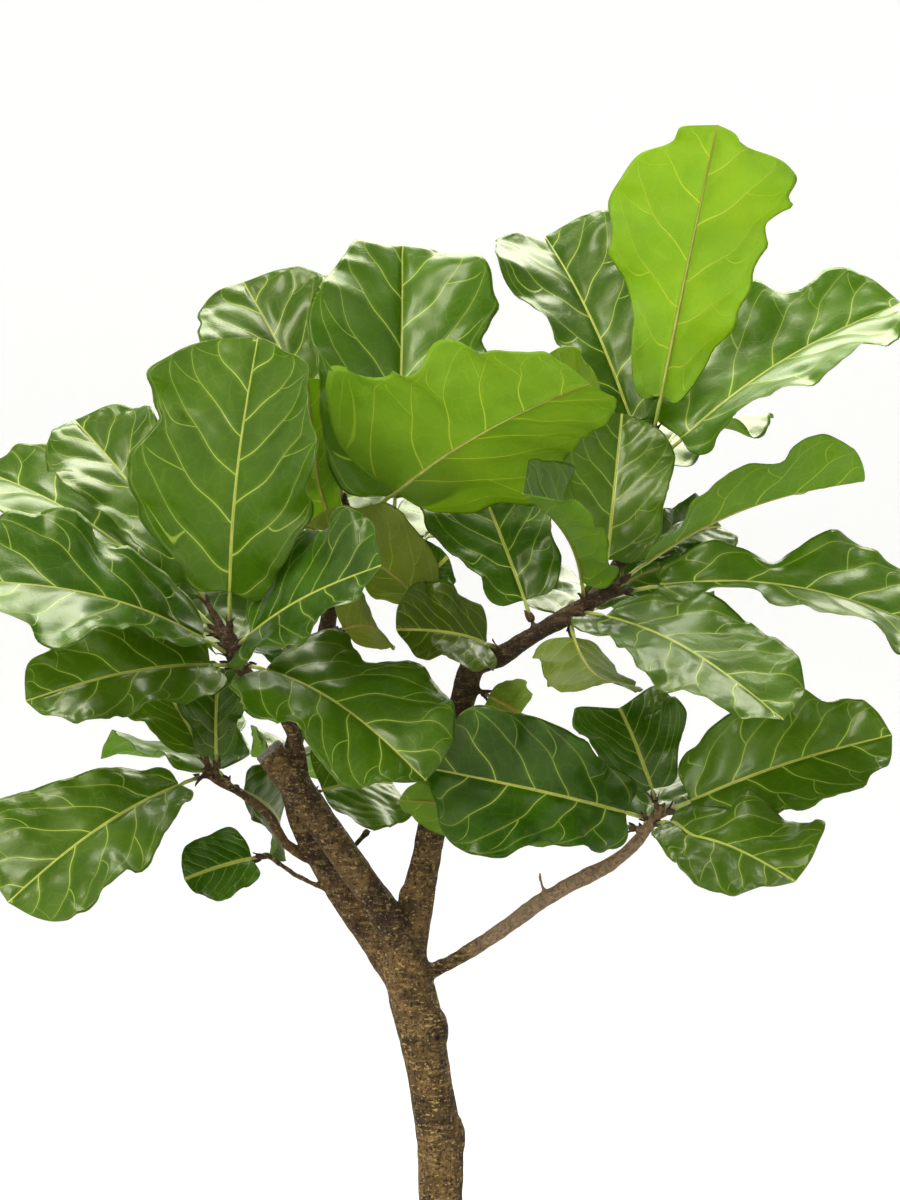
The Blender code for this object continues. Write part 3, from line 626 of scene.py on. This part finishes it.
def leaf_material(name, under):
    """Waxy deep green above, matt and lighter below, with pale veins and light coming through."""
    n = Nodes(name)
    metric, along, out = n.uv("metric")
    _, phase, side = n.uv("vein")
    _, yellow, olive = n.uv("tone")
    out = n.math("ABSOLUTE", out)
    side = n.math("ABSOLUTE", side)

    # distance to the nearest lateral vein, in shares of the space between two
    near = n.math("ABSOLUTE", n.minus(n.math("FRACT", n.plus(phase, 0.5)), 0.5))
    width = n.ramp(side, 0.0, 0.85, 0.027, 0.012)
    lateral = n.ramp(near, n.times(width, 0.45), width, 1.0, 0.0)
    lateral = n.times(lateral, n.ramp(side, 0.86, 0.97, 1.0, 0.35))
    # forks leave each lateral part-way out and drop back to the one before
    drop = n.times(n.minus(side, 0.50), 2.1)
    fork = n.math("FRACT", n.plus(n.plus(phase, drop), 0.5))
    fork = n.ramp(n.math("ABSOLUTE", n.minus(fork, 0.5)), 0.006, 0.019, 0.60, 0.0)
    fork = n.times(fork, n.ramp(side, 0.50, 0.52))
    fork = n.times(fork, n.ramp(side, 0.86, 0.93, 1.0, 0.0))
    lateral = n.math("MAXIMUM", lateral, fork)
    rib_width = n.ramp(along, 0.0, 0.30, 0.0028, 0.0011)
    rib = n.ramp(out, n.times(rib_width, 0.6), rib_width, 1.0, 0.0)
    net = n.ramp(n.voronoi(metric, 62, "DISTANCE_TO_EDGE"), 0.010, 0.045, 1.0, 0.0)
    fine = n.ramp(n.voronoi(metric, 330, "DISTANCE_TO_EDGE"), 0.02, 0.16, 1.0, 0.0)
    veins = n.math("MAXIMUM", lateral, rib)
    margin = n.ramp(side, 0.984, 0.997)

    patches = n.noise(metric, 13, 5, 0.55)
    flecks = n.noise(metric, 160, 3, 0.6)
    if under:
        dark, light = (0.072, 0.170, 0.008), (0.130, 0.275, 0.018)
        young, dull = (0.215, 0.400, 0.020), (0.210, 0.205, 0.035)
        vein_colour, rib_colour, net_share = (0.34, 0.44, 0.055), (0.36, 0.31, 0.050), 0.14
    else:
        dark, light = (0.009, 0.037, 0.0005), (0.037, 0.105, 0.0011)
        young, dull = (0.095, 0.225, 0.006), (0.058, 0.072, 0.006)
        vein_colour, rib_colour, net_share = (0.46, 0.58, 0.130), (0.58, 0.64, 0.130), 0.03
    green = n.mix(n.ramp(patches, 0.30, 0.72), dark, light)
    green = n.mix(n.times(yellow, 0.85), green, young)
    green = n.mix(n.times(olive, 0.80), green, dull)
    green = n.mix(n.ramp(flecks, 0.35, 0.75, 0.0, 0.18), green, light)
    green = n.mix(n.ramp(near, 0.0, 0.14, 0.13, 0.0), green, vein_colour)
    green = n.mix(n.times(net, net_share), green, vein_colour)
    green = n.mix(n.times(lateral, 0.85), green, vein_colour)
    green = n.mix(n.times(rib, 0.95), green, rib_colour)
    green = n.mix(n.times(margin, 0.55), green, vein_colour)

    sign = 1.0 if under else -1.0
    relief = n.times(veins, sign)
    relief = n.plus(relief, n.times(net, 0.12 * sign))
    relief = n.plus(relief, n.times(fine, 0.08 * sign))
    relief = n.plus(relief, n.times(n.noise(metric, 55, 3, 0.5), 0.9))
    normal = n.bump(relief, 0.0010 if under else 0.0007, 0.9)
    if under:
        surface = n.principled(
            Base_Color=green,
            Roughness=n.ramp(flecks, 0.3, 0.7, 0.50, 0.62),
            Normal=normal,
            IOR=1.42,
            Specular_IOR_Level=0.35,
        )
    else:
        surface = n.principled(
            Base_Color=green,
            Roughness=n.ramp(n.plus(patches, n.times(flecks, 0.4)), 0.4, 1.0, 0.30, 0.46),
            Normal=normal,
            IOR=1.48,
            Specular_IOR_Level=0.50,
            Specular_Tint=WAX_TINT,
            Coat_Weight=0.35,
            Coat_Roughness=0.22,
            Coat_Tint=WAX_TINT,
        )
    glow_green = n.mix(n.times(yellow, 0.9), (0.15, 0.32, 0.006), (0.60, 0.72, 0.012))
    glow_green = n.mix(n.times(olive, 0.7), glow_green, (0.42, 0.36, 0.040))
    glow_green = n.mix(n.ramp(patches, 0.25, 0.75, 0.45, 0.0), glow_green, (0.20, 0.42, 0.008))
    glow_green = n.mix(n.times(net, 0.10), glow_green, (0.78, 0.92, 0.060))
    glow_vein = n.mix(rib, (0.82, 0.92, 0.080), (0.50, 0.31, 0.020))
    glow = n.add("ShaderNodeBsdfTranslucent")
    n.put(glow.inputs["Color"], n.mix(n.times(veins, 0.9), glow_green, glow_vein))
    n.put(glow.inputs["Normal"], normal)
    blend = n.add("ShaderNodeMixShader")
    blend.inputs[0].default_value = GLOW_SHARE
    n.tree.links.new(surface, blend.inputs[1])
    n.tree.links.new(glow.outputs[0], blend.inputs[2])
    return n.finish(blend.outputs[0])


def stalk_material():
    """Yellow-green leaf stalks and midribs, a little rough and browner at the foot."""
    n = Nodes("leaf_stalk")
    _, along, _ = n.uv("metric")
    place = n.object_place()
    grain = n.noise(place, 420, 4, 0.6)
    blotch = n.noise(place, 60, 4, 0.6)
    colour = n.mix(n.ramp(blotch, 0.35, 0.7), (0.25, 0.32, 0.045), (0.40, 0.42, 0.085))
    colour = n.mix(n.ramp(along, 0.0, 0.018, 0.8, 0.0), colour, (0.10, 0.075, 0.03))
    colour = n.mix(n.ramp(grain, 0.45, 0.8, 0.0, 0.35), colour, (0.17, 0.20, 0.035))
    return n.finish(
        n.principled(
            Base_Color=colour,
            Roughness=n.ramp(grain, 0.3, 0.7, 0.42, 0.6),
            Normal=n.bump(grain, 0.0004),
            IOR=1.45,
        )
    )


STUB_END = (-0.189, -0.030, 1.108)  # the sawn end of the front limb
STUB_RADIUS = 0.0165
KNOT = (-0.003, -0.031, 0.793)  # a healed wound on the trunk, with a hole
KNOT_RADIUS = 0.021
KNOT_HOLE = 0.0036
KNOT_WAVES = 1500.0  # radians per metre of the knot's rings
YEAR_WAVES = 3600.0  # and of the year rings in the sawn end
LOW_BRANCH_START = 0.02  # the low branch lies beyond this x
LOW_BRANCH_TOP = 1.06  # and below this height


def reach_from(n, place, centre):
    """Distance of each place from a centre."""
    node = n.add("ShaderNodeVectorMath", operation="DISTANCE")
    n.put(node.inputs[0], place)
    node.inputs[1].default_value = centre
    return node.outputs["Value"]


def bark_material():
    """Brown bark with streaks, flecks, pits and a knot. Painted shade darkens the wood from the knot up to
    the forks, and more over the shoots under the leaves. The sawn end is grey.
    """
    n = Nodes("bark")
    place = n.object_place()
    across, _, height = n.split(place)
    cloud = n.noise(place, 24, 6, 0.66)
    streaks = n.noise(n.stretched(place, (1, 1, 0.22)), 150, 6, 0.65)
    wrinkles = n.noise(n.stretched(place, (0.5, 0.5, 2.2)), 95, 5, 0.6)
    flecks = n.noise(n.stretched(place, (0.75, 0.75, 1.5)), 230, 4, 0.6)
    dots = n.voronoi(n.stretched(place, (0.8, 0.8, 1.3)), 120)
    pits = n.noise(place, 300, 4, 0.65)
    colour = n.mix(n.ramp(cloud, 0.40, 0.62), (0.023, 0.0128, 0.005), (0.178, 0.104, 0.034))
    colour = n.mix(n.ramp(streaks, 0.42, 0.60, 0.0, 0.7), colour, (0.070, 0.043, 0.017))
    colour = n.mix(n.ramp(wrinkles, 0.51, 0.66, 0.0, 0.65), colour, (0.245, 0.160, 0.058))
    colour = n.mix(n.ramp(flecks, 0.57, 0.65, 0.0, 0.85), colour, (0.410, 0.285, 0.110))
    colour = n.mix(n.ramp(dots, 0.06, 0.13, 0.9, 0.0), colour, (0.520, 0.390, 0.190))
    colour = n.mix(n.ramp(pits, 0.54, 0.66, 0.0, 0.85), colour, (0.015, 0.009, 0.005))
    beyond = n.ramp(across, LOW_BRANCH_START, 0.06)
    low = n.times(beyond, n.ramp(height, 1.0, LOW_BRANCH_TOP, 0.65, 0.0))
    # painted shade: the wood darkens from just above the knot up towards the forks
    colour = n.mix(n.ramp(height, 0.82, 0.95, 0.0, 0.24), colour, (0.030, 0.017, 0.009))
    colour = n.mix(low, colour, (0.345, 0.240, 0.145))
    # painted shade of the leaves: the upper branches and shoots are darker still
    colour = n.mix(n.ramp(height, 1.06, 1.22, 0.0, 0.60), colour, (0.036, 0.022, 0.012))
    uneven = n.times(n.minus(cloud, 0.5), 0.006)
    knot = n.plus(reach_from(n, place, KNOT), uneven)
    in_knot = n.ramp(knot, 0.7 * KNOT_RADIUS, KNOT_RADIUS, 1.0, 0.0)
    rings = n.times(n.math("SINE", n.times(knot, KNOT_WAVES)), in_knot)
    colour = n.mix(n.ramp(rings, 0.0, 1.0, 0.0, 0.55), colour, (0.030, 0.019, 0.010))
    # painted shade: the knot's hole is painted near black, as if deep
    hole = n.ramp(knot, KNOT_HOLE, 1.5 * KNOT_HOLE, 1.0, 0.0)
    colour = n.mix(hole, colour, (0.010, 0.006, 0.004))
    reach = reach_from(n, place, STUB_END)
    years = n.math("SINE", n.times(reach, YEAR_WAVES))
    sawn = n.mix(n.ramp(years, -1.0, 1.0, 0.1, 0.5), (0.210, 0.190, 0.160), (0.110, 0.095, 0.075))
    colour = n.mix(n.ramp(reach, STUB_RADIUS, 1.12 * STUB_RADIUS, 1.0, 0.0), colour, sawn)
    relief = n.plus(n.times(streaks, 0.8), n.times(wrinkles, 0.7))
    relief = n.plus(relief, n.ramp(dots, 0.05, 0.14, 0.35, 0.0))
    relief = n.minus(relief, n.ramp(pits, 0.50, 0.70, 0.0, 0.45))
    relief = n.minus(relief, n.times(rings, 0.25))
    relief = n.minus(relief, n.times(hole, 0.8))
    return n.finish(
        n.principled(
            Base_Color=colour,
            Roughness=n.ramp(streaks, 0.3, 0.7, 0.74, 0.92),
            Normal=n.bump(relief, 0.0034),
            IOR=1.4,
            Specular_IOR_Level=0.3,
        )
    )


def pot_material():
    """Warm matt stoneware with iron specks, faint turning lines, and darker and browner towards the foot."""
    n = Nodes("stoneware")
    place = n.object_place()
    _, _, height = n.split(place)
    cloud = n.noise(place, 7, 5, 0.55)
    grit = n.noise(place, 900, 3, 0.6)
    specks = n.voronoi(place, 260)
    rare = n.noise(place, 90, 2, 0.5)
    lines = n.noise(n.stretched(place, (0.4, 0.4, 60)), 3.2, 4, 0.6)
    colour = n.mix(n.ramp(cloud, 0.3, 0.7), (0.45, 0.42, 0.365), (0.54, 0.51, 0.455))
    colour = n.mix(n.ramp(lines, 0.35, 0.7, 0.0, 0.22), colour, (0.39, 0.355, 0.30))
    mask = n.times(n.ramp(specks, 0.10, 0.20, 1.0, 0.0), n.ramp(rare, 0.48, 0.60))
    colour = n.mix(n.times(mask, 0.85), colour, (0.13, 0.085, 0.05))
    # darker and browner towards the foot, over the lowest 3 cm
    colour = n.mix(n.ramp(height, 0.0, 0.03, 0.45, 0.0), colour, (0.32, 0.27, 0.20))
    relief = n.plus(n.times(grit, 0.35), n.times(lines, 0.6))
    return n.finish(
        n.principled(
            Base_Color=colour,
            Roughness=n.ramp(grit, 0.3, 0.7, 0.52, 0.70),
            Normal=n.bump(relief, 0.0007),
            IOR=1.5,
        )
    )


def soil_material():
    """Damp dark peat with paler crumbs and white grains."""
    n = Nodes("peat")
    place = n.object_place()
    crumb = n.noise(place, 420, 5, 0.7)
    damp = n.ramp(n.noise(place, 45, 5, 0.6), 0.3, 0.7)
    colour = n.mix(damp, (0.030, 0.019, 0.012), (0.070, 0.046, 0.029))
    colour = n.mix(n.ramp(crumb, 0.45, 0.75, 0.0, 0.6), colour, (0.018, 0.012, 0.008))
    grains = n.ramp(n.voronoi(place, 190), 0.12, 0.20, 1.0, 0.0)
    grains = n.times(grains, n.ramp(n.noise(place, 60, 2), 0.58, 0.66))
    colour = n.mix(grains, colour, (0.62, 0.60, 0.55))
    return n.finish(
        n.principled(
            Base_Color=colour,
            Roughness=n.ramp(crumb, 0.3, 0.7, 0.82, 0.97),
            Normal=n.bump(crumb, 0.0022),
            IOR=1.4,
            Specular_IOR_Level=0.25,
        )
    )


def chip_material(name, dark, light):
    """Broken bark, or the papery scales round a bud: fibres run along it."""
    n = Nodes(name)
    place = n.object_place()
    fibres = n.noise(n.stretched(place, (1, 1, 2.6)), 310, 5, 0.65)
    colour = n.mix(n.ramp(n.noise(place, 80, 3, 0.5), 0.3, 0.7), dark, light)
    colour = n.mix(n.ramp(fibres, 0.48, 0.72, 0.0, 0.65), colour, tuple(2.2 * value for value in light))
    colour = n.mix(n.ramp(fibres, 0.30, 0.42, 0.6, 0.0), colour, tuple(0.4 * value for value in dark))
    return n.finish(
        n.principled(
            Base_Color=colour,
            Roughness=n.ramp(fibres, 0.3, 0.7, 0.7, 0.92),
            Normal=n.bump(fibres, 0.0010),
            IOR=1.4,
            Specular_IOR_Level=0.3,
        )
    )


# ---------------------------------------------------------------- wood, soil and pot

WOOD_VOXEL = 0.0021
WOOD_SMOOTHING = 6  # passes
WELD_REACH = 0.00001
BARK_RELIEF = ((18, 0.0022), (55, 0.0012), (150, 0.0007))  # (waves per metre, height)
BARK_STRETCH = 0.5  # the relief is longer up the trunk than round it


def evaluated_copy(obj, name):
    """A new object with obj's shape after its modifiers."""
    depsgraph = bpy.context.evaluated_depsgraph_get()
    mesh = bpy.data.meshes.new_from_object(obj.evaluated_get(depsgraph))
    mesh.name = name
    return linked(name, mesh)


def build_wood(node, material):
    """The tree's wood with softened forks, lumpy growth and rough bark."""
    draft = evaluated_copy(node, "wood_draft")
    weld = draft.modifiers.new("weld", "WELD")
    weld.merge_threshold = WELD_REACH
    remesh = draft.modifiers.new("remesh", "REMESH")
    remesh.mode = "VOXEL"
    remesh.voxel_size = WOOD_VOXEL
    smooth = draft.modifiers.new("smooth", "SMOOTH")
    smooth.iterations = WOOD_SMOOTHING
    smooth.factor = 0.5
    bpy.context.view_layer.update()
    wood = evaluated_copy(draft, "tree_wood")
    bpy.data.objects.remove(draft)
    mesh = wood.data
    count = len(mesh.vertices)
    places = np.empty(count * 3)
    normals = np.empty(count * 3)
    mesh.vertices.foreach_get("co", places)
    mesh.vertex_normals.foreach_get("vector", normals)
    places = places.reshape(-1, 3)
    normals = normals.reshape(-1, 3)
    height = np.zeros(count)
    for waves, size in BARK_RELIEF:
        scale = (waves, waves, waves * BARK_STRETCH)
        height += size * np.array([noise.noise(place) for place in places * scale])
    mesh.vertices.foreach_set("co", (places + normals * height[:, None]).ravel())
    mesh.materials.clear()
    mesh.materials.append(material)
    mesh.shade_smooth()
    mesh.update()
    return wood


def mesh_object(name, places, faces, material):
    """A smooth-shaded object of one material."""
    mesh = bpy.data.meshes.new(name)
    mesh.from_pydata(places, [], faces)
    mesh.shade_smooth()
    mesh.materials.append(material)
    mesh.update()
    return linked(name, mesh)


POT_SIDES = 176
POT_WALL = 0.012
POT_RIM_STEPS = 10
POT_WALL_STEPS = 90
POT_FOOT_WIDTH = 0.016
POT_FOOT_RISE = 0.003
POT_FLOOR = 0.02  # height of the floor inside the pot
POT_INNER_STEPS = 24
TURNING = 0.00025  # height of the potter's turning lines
TURNING_WAVES = 900  # radians per metre of the lines
TURNING_SWELL = 37  # and of the slow waves that strengthen and weaken them


def build_pot(node, material):
    """The thrown pot: a foot ring, a flared wall with faint turning lines and a round rim."""
    low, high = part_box(node.name)
    rim_radius = high[0]
    height = high[2]
    foot = np.array([p for p in world_points(node)[0] if p[2] < 0.0001])
    foot_radius = np.linalg.norm(foot[:, :2], axis=1).max()
    chamfer = (rim_radius - foot_radius) / 8
    edge = POT_WALL / 2

    def wall(z):
        base = foot_radius + chamfer
        return base + (rim_radius - base) * z / height

    profile = [(0.0, POT_FOOT_RISE), (foot_radius - POT_FOOT_WIDTH - POT_FOOT_RISE, POT_FOOT_RISE)]
    profile += [(foot_radius - POT_FOOT_WIDTH, 0.0), (foot_radius, 0.0)]
    for z in np.linspace(chamfer, height - edge, POT_WALL_STEPS):
        line = math.sin(z * TURNING_WAVES) * math.sin(z * TURNING_SWELL)
        profile.append((wall(z) - TURNING * (1 + line), z))
    for turn in np.linspace(0, math.pi, POT_RIM_STEPS)[1:-1]:
        profile.append((wall(height) - edge + edge * math.cos(turn), height - edge + edge * math.sin(turn)))
    for z in np.linspace(height - edge, POT_FLOOR, POT_INNER_STEPS):
        profile.append((wall(z) - POT_WALL, z))
    profile.append((0.0, POT_FLOOR))
    turn = np.arange(POT_SIDES) * 2 * math.pi / POT_SIDES
    rings = np.array([[(r * math.cos(a), r * math.sin(a), z) for a in turn] for r, z in profile[1:-1]])
    places = rings.reshape(-1, 3).tolist()
    faces = tube_faces(len(rings), POT_SIDES).tolist()
    first = list(range(POT_SIDES))
    last = [len(places) - POT_SIDES + i for i in first]
    places += [(0.0, 0.0, profile[0][1]), (0.0, 0.0, profile[-1][1])]
    for i in first:
        j = (i + 1) % POT_SIDES
        faces.append([len(places) - 2, first[j], first[i]])
        faces.append([len(places) - 1, last[i], last[j]])
    return mesh_object("thrown_pot", places, faces, material)


CHIPS = 620
CHIP_POINTS = 9  # random corners that a chip's hull is drawn round
CHIP_SIZE = 0.004  # least half size
CHIP_GROWTH = 0.006  # the most that chance adds to it
CHIP_SHAPE = (1.1, 0.65, 0.32)
CHIP_TILT = 0.5  # radians
CHIP_DIP = 0.004  # how far the layer drops towards the trunk and the pot
TRUNK_CLEARANCE = 0.036
POT_CLEARANCE = 0.008


def build_chips(node, material, random):
    """Bark chips strewn over the soil."""
    top = world_points(node)[0]
    top = top[top[:, 2] > top[:, 2].max() - 0.02]
    reach = np.linalg.norm(top[:, :2], axis=1).max() - POT_CLEARANCE
    chips = bmesh.new()
    for _ in range(CHIPS):
        radius = math.sqrt(TRUNK_CLEARANCE**2 + (reach**2 - TRUNK_CLEARANCE**2) * random.random())
        angle = 2 * math.pi * random.random()
        size = (CHIP_SIZE + CHIP_GROWTH * random.random(3)) * CHIP_SHAPE
        crown = top[:, 2].max() - CHIP_DIP * abs(radius / reach - 0.45)
        centre = Vector((radius * math.cos(angle), radius * math.sin(angle), crown + 0.3 * size[2]))
        tilt = Matrix.Rotation(CHIP_TILT * (random.random() - 0.5), 3, "X")
        tilt = Matrix.Rotation(2 * math.pi * random.random(), 3, "Z") @ tilt
        tilt = tilt @ Matrix.Rotation(CHIP_TILT * (random.random() - 0.5), 3, "Y")
        points = []
        for _ in range(CHIP_POINTS):
            corner = random.random(3) * 2 - 1
            corner = corner / max(0.6, np.linalg.norm(corner)) * size
            points.append(chips.verts.new(centre + tilt @ Vector(corner)))
        hull = bmesh.ops.convex_hull(chips, input=points)
        inside = [v for v in hull["geom_interior"] if isinstance(v, bmesh.types.BMVert)]
        bmesh.ops.delete(chips, geom=inside, context="VERTS")
    mesh = bpy.data.meshes.new("bark_chips")
    chips.to_mesh(mesh)
    chips.free()
    mesh.materials.append(material)
    return linked("bark_chips", mesh)


SCALES = 3  # papery scales round the foot of each stalk
SCALE_ROWS = 7
SCALE_COLUMNS = 5
SCALE_THICKNESS = 0.00022
SCALE_CUP = 0.0016  # how far the edges of a scale bend towards the stalk
SCALE_STAND = 0.0034  # from the middle of the stalk to the foot of a scale
SCALE_ROOT = 0.003  # how far below the stalk's foot a scale starts


def scale_faces(start):
    """Faces of one closed scale: its front sheet is numbered from start, and its back sheet follows."""
    count = SCALE_ROWS * SCALE_COLUMNS
    index = np.arange(start, start + 2 * count).reshape(2, SCALE_ROWS, SCALE_COLUMNS)
    front, back = index.tolist()
    faces = []
    for row in range(SCALE_ROWS - 1):
        for column in range(SCALE_COLUMNS - 1):
            quad = [(row, column), (row, column + 1), (row + 1, column + 1), (row + 1, column)]
            faces.append([front[r][c] for r, c in quad])
            faces.append([back[r][c] for r, c in reversed(quad)])
        faces.append([front[row][0], front[row + 1][0], back[row + 1][0], back[row][0]])
        faces.append([back[row][-1], back[row + 1][-1], front[row + 1][-1], front[row][-1]])
    faces.append(front[0][::-1] + back[0])
    faces.append(front[-1] + back[-1][::-1])
    return faces


def build_scales(feet, material, random):
    """Brown bud scales that clasp the foot of each leaf stalk. Each is a thin closed cup."""
    places = []
    faces = []
    for foot, direction in feet:
        side = Vector(direction).orthogonal().normalized()
        for turn in range(SCALES):
            angle = 2 * math.pi * (turn + 0.6 * random.random()) / SCALES
            outward = Matrix.Rotation(angle, 3, Vector(direction)) @ side
            across = Vector(direction).cross(outward)
            length = 0.007 + 0.008 * random.random()
            width = 0.0030 + 0.0015 * random.random()
            splay = 0.15 + 0.45 * random.random()
            faces += scale_faces(len(places))
            for face_side in (1, -1):
                for row in np.linspace(0, 1, SCALE_ROWS):
                    half = width * math.sin(math.pi * (0.18 + 0.80 * row)) ** 0.8
                    rise = SCALE_STAND + splay * length * row**1.7
                    for column in np.linspace(-1, 1, SCALE_COLUMNS):
                        thin = SCALE_THICKNESS * face_side * (1 - abs(column)) * (1 - 0.6 * row)
                        cup = rise - SCALE_CUP * column**2 * (1 - 0.5 * row) + thin
                        place = Vector(foot) + Vector(direction) * (length * row - SCALE_ROOT)
                        places.append(place + outward * cup + across * (half * column))
    return mesh_object("bud_scales", places, faces, material)


# ---------------------------------------------------------------- stage

BOWL_FLOOR = 5.5  # radius of the flat floor
BOWL_RADIUS = 9.0
BOWL_HEIGHT = 7.0
BOWL_STEPS = 12  # in the curve from floor to wall
BOWL_SIDES = 72
FLOOR_GLOW = 0.02
WALL_GLOW = 0.37
FLOOR_PAINT = (0.40, 0.40, 0.398)  # under the lamps, so that it looks as pale as the wall
WALL_PAINT = (0.80, 0.80, 0.796)


def stage_material():
    """A pale painted floor and wall that glow a little, so that they stay pale from every side."""
    n = Nodes("stage_pale")
    place = n.object_place()
    length = n.add("ShaderNodeVectorMath", operation="LENGTH")
    n.put(length.inputs[0], n.stretched(place, (1, 1, 0)))
    reach = length.outputs["Value"]
    colour = n.mix(n.ramp(reach, 0.4, 6.0), FLOOR_PAINT, WALL_PAINT)
    colour = n.mix(n.ramp(n.noise(place, 3, 3, 0.5), 0.3, 0.7, 0.0, 0.04), colour, (0.72, 0.72, 0.71))
    glow = n.ramp(reach, 3.6, 6.4, FLOOR_GLOW, WALL_GLOW)
    return n.finish(
        n.principled(
            Base_Color=colour,
            Roughness=0.9,
            Specular_IOR_Level=0.0,
            Emission_Color=colour,
            Emission_Strength=glow,
        )
    )


def build_stage():
    """A pale floor that curves up into a wall all round."""
    radius = BOWL_RADIUS - BOWL_FLOOR
    profile = [(0.0, 0.0), (1.5, 0.0), (3.5, 0.0)]
    for step in range(BOWL_STEPS + 1):
        turn = step / BOWL_STEPS * math.pi / 2
        profile.append((BOWL_FLOOR + radius * math.sin(turn), radius * (1 - math.cos(turn))))
    profile.append((BOWL_RADIUS, BOWL_HEIGHT))
    mesh = bpy.data.meshes.new("stage")
    edit = bmesh.new()
    points = [edit.verts.new((x, 0, z)) for x, z in profile]
    edges = [edit.edges.new(pair) for pair in zip(points, points[1:])]
    around = {"axis": (0, 0, 1), "cent": (0, 0, 0), "angle": 2 * math.pi, "steps": BOWL_SIDES}
    bmesh.ops.spin(edit, geom=points + edges, **around)
    bmesh.ops.remove_doubles(edit, verts=edit.verts, dist=0.0001)
    bmesh.ops.recalc_face_normals(edit, faces=edit.faces)
    edit.to_mesh(mesh)
    edit.free()
    mesh.shade_smooth()
    mesh.materials.append(stage_material())
    stage = linked("stage", mesh)


# (name, place, target, size, watts, colour)
LAMPS = (
    ("key", (-2.2, -2.2, 4.4), (0, 0, 1.3), (1.5, 1.5), 145, (1.0, 0.985, 0.955)),
    ("window", (-2.5, -3.0, 2.4), (-0.1, 0, 1.35), (1.0, 1.6), 54, (1.0, 1.0, 0.98)),
    ("fill", (3.4, -3.0, 1.8), (0, 0, 1.1), (2.4, 2.4), 12, (0.96, 0.98, 1.0)),
    ("back", (1.0, 3.0, 3.4), (0.10, 0, 1.5), (2.4, 2.0), 130, (1.0, 0.99, 0.95)),
    ("top", (0.2, 1.6, 4.6), (0.1, 0, 1.3), (3.2, 2.0), 310, (1.0, 1.0, 0.95)),
)
WORLD_COLOUR = (1.0, 1.0, 0.97, 1)
WORLD_STRENGTH = 0.36
CAMERA_PLACE = (0.01, -2.8, 1.27)
LENS = 76.4  # millimetres, on a sensor 36 mm wide
SENSOR = 36


def area_light(name, place, target, size, power, colour):
    """A soft rectangular lamp that faces its target."""
    data = bpy.data.lights.new(name, "AREA")
    data.shape = "RECTANGLE"
    data.size, data.size_y = size
    data.energy = power
    data.color = colour
    light = linked(name, data)
    light.location = place
    aim = Vector(target) - Vector(place)
    light.rotation_euler = aim.to_track_quat("-Z", "Y").to_euler()


def build_lights():
    """The lamps and an even pale surround."""
    for lamp in LAMPS:
        area_light(*lamp)
    world = bpy.data.worlds.new("studio")
    bpy.context.scene.world = world
    world.use_nodes = True
    backdrop = world.node_tree.nodes["Background"]
    backdrop.inputs["Color"].default_value = WORLD_COLOUR
    backdrop.inputs["Strength"].default_value = WORLD_STRENGTH


def build_camera():
    """A level camera at the photograph's viewing angle."""
    data = bpy.data.cameras.new("camera")
    data.lens = LENS
    data.sensor_width = SENSOR
    data.sensor_fit = "AUTO"
    camera = linked("camera", data)
    camera.location = CAMERA_PLACE
    camera.rotation_euler = (math.pi / 2, 0, 0)
    bpy.context.scene.camera = camera


# ---------------------------------------------------------------- main


def show(piece, *nodes, slot):
    """The piece stands for these CAD nodes."""
    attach(piece, "root")
    if nodes:
        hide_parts(*nodes)


def main():
    """Builds the stage, then every piece in a fixed order, as they share one source of chance."""
    build_camera()
    build_stage()
    build_lights()
    bpy.context.scene.view_settings.view_transform = "Standard"
    random = np.random.default_rng(SEED)
    leaf_look = (
        leaf_material("leaf_upper", under=False),
        leaf_material("leaf_under", under=True),
        stalk_material(),
    )
    nodes = frame["nodes"]
    leaves = sorted(set(nodes) - {"pot", "soil", "trunk_and_branches"})
    feet = []
    for name in leaves:
        leaf = build_leaf(f"leaf_{name}", nodes[name], leaf_look, random)
        show(leaf, name, slot="leaf")
        rings, _ = leaf_rings(nodes[name])
        centres = rings[:2].mean(axis=1)
        feet.append((centres[0], unit_rows(centres[1] - centres[0])))
    wood = build_wood(nodes["trunk_and_branches"], bark_material())
    show(wood, "trunk_and_branches", slot="bark")
    scale_look = chip_material("bud_scale", (0.030, 0.016, 0.009), (0.085, 0.048, 0.024))
    scales = build_scales(feet, scale_look, random)
    show(scales, slot="bark")
    pot = build_pot(nodes["pot"], pot_material())
    show(pot, "pot", slot="pot_ceramic")
    chip_look = chip_material("bark_chip", (0.040, 0.022, 0.012), (0.110, 0.065, 0.036))
    chips = build_chips(nodes["soil"], chip_look, random)
    show(chips, slot="soil")
    nodes["soil"].data.materials.clear()
    nodes["soil"].data.materials.append(soil_material())


main()
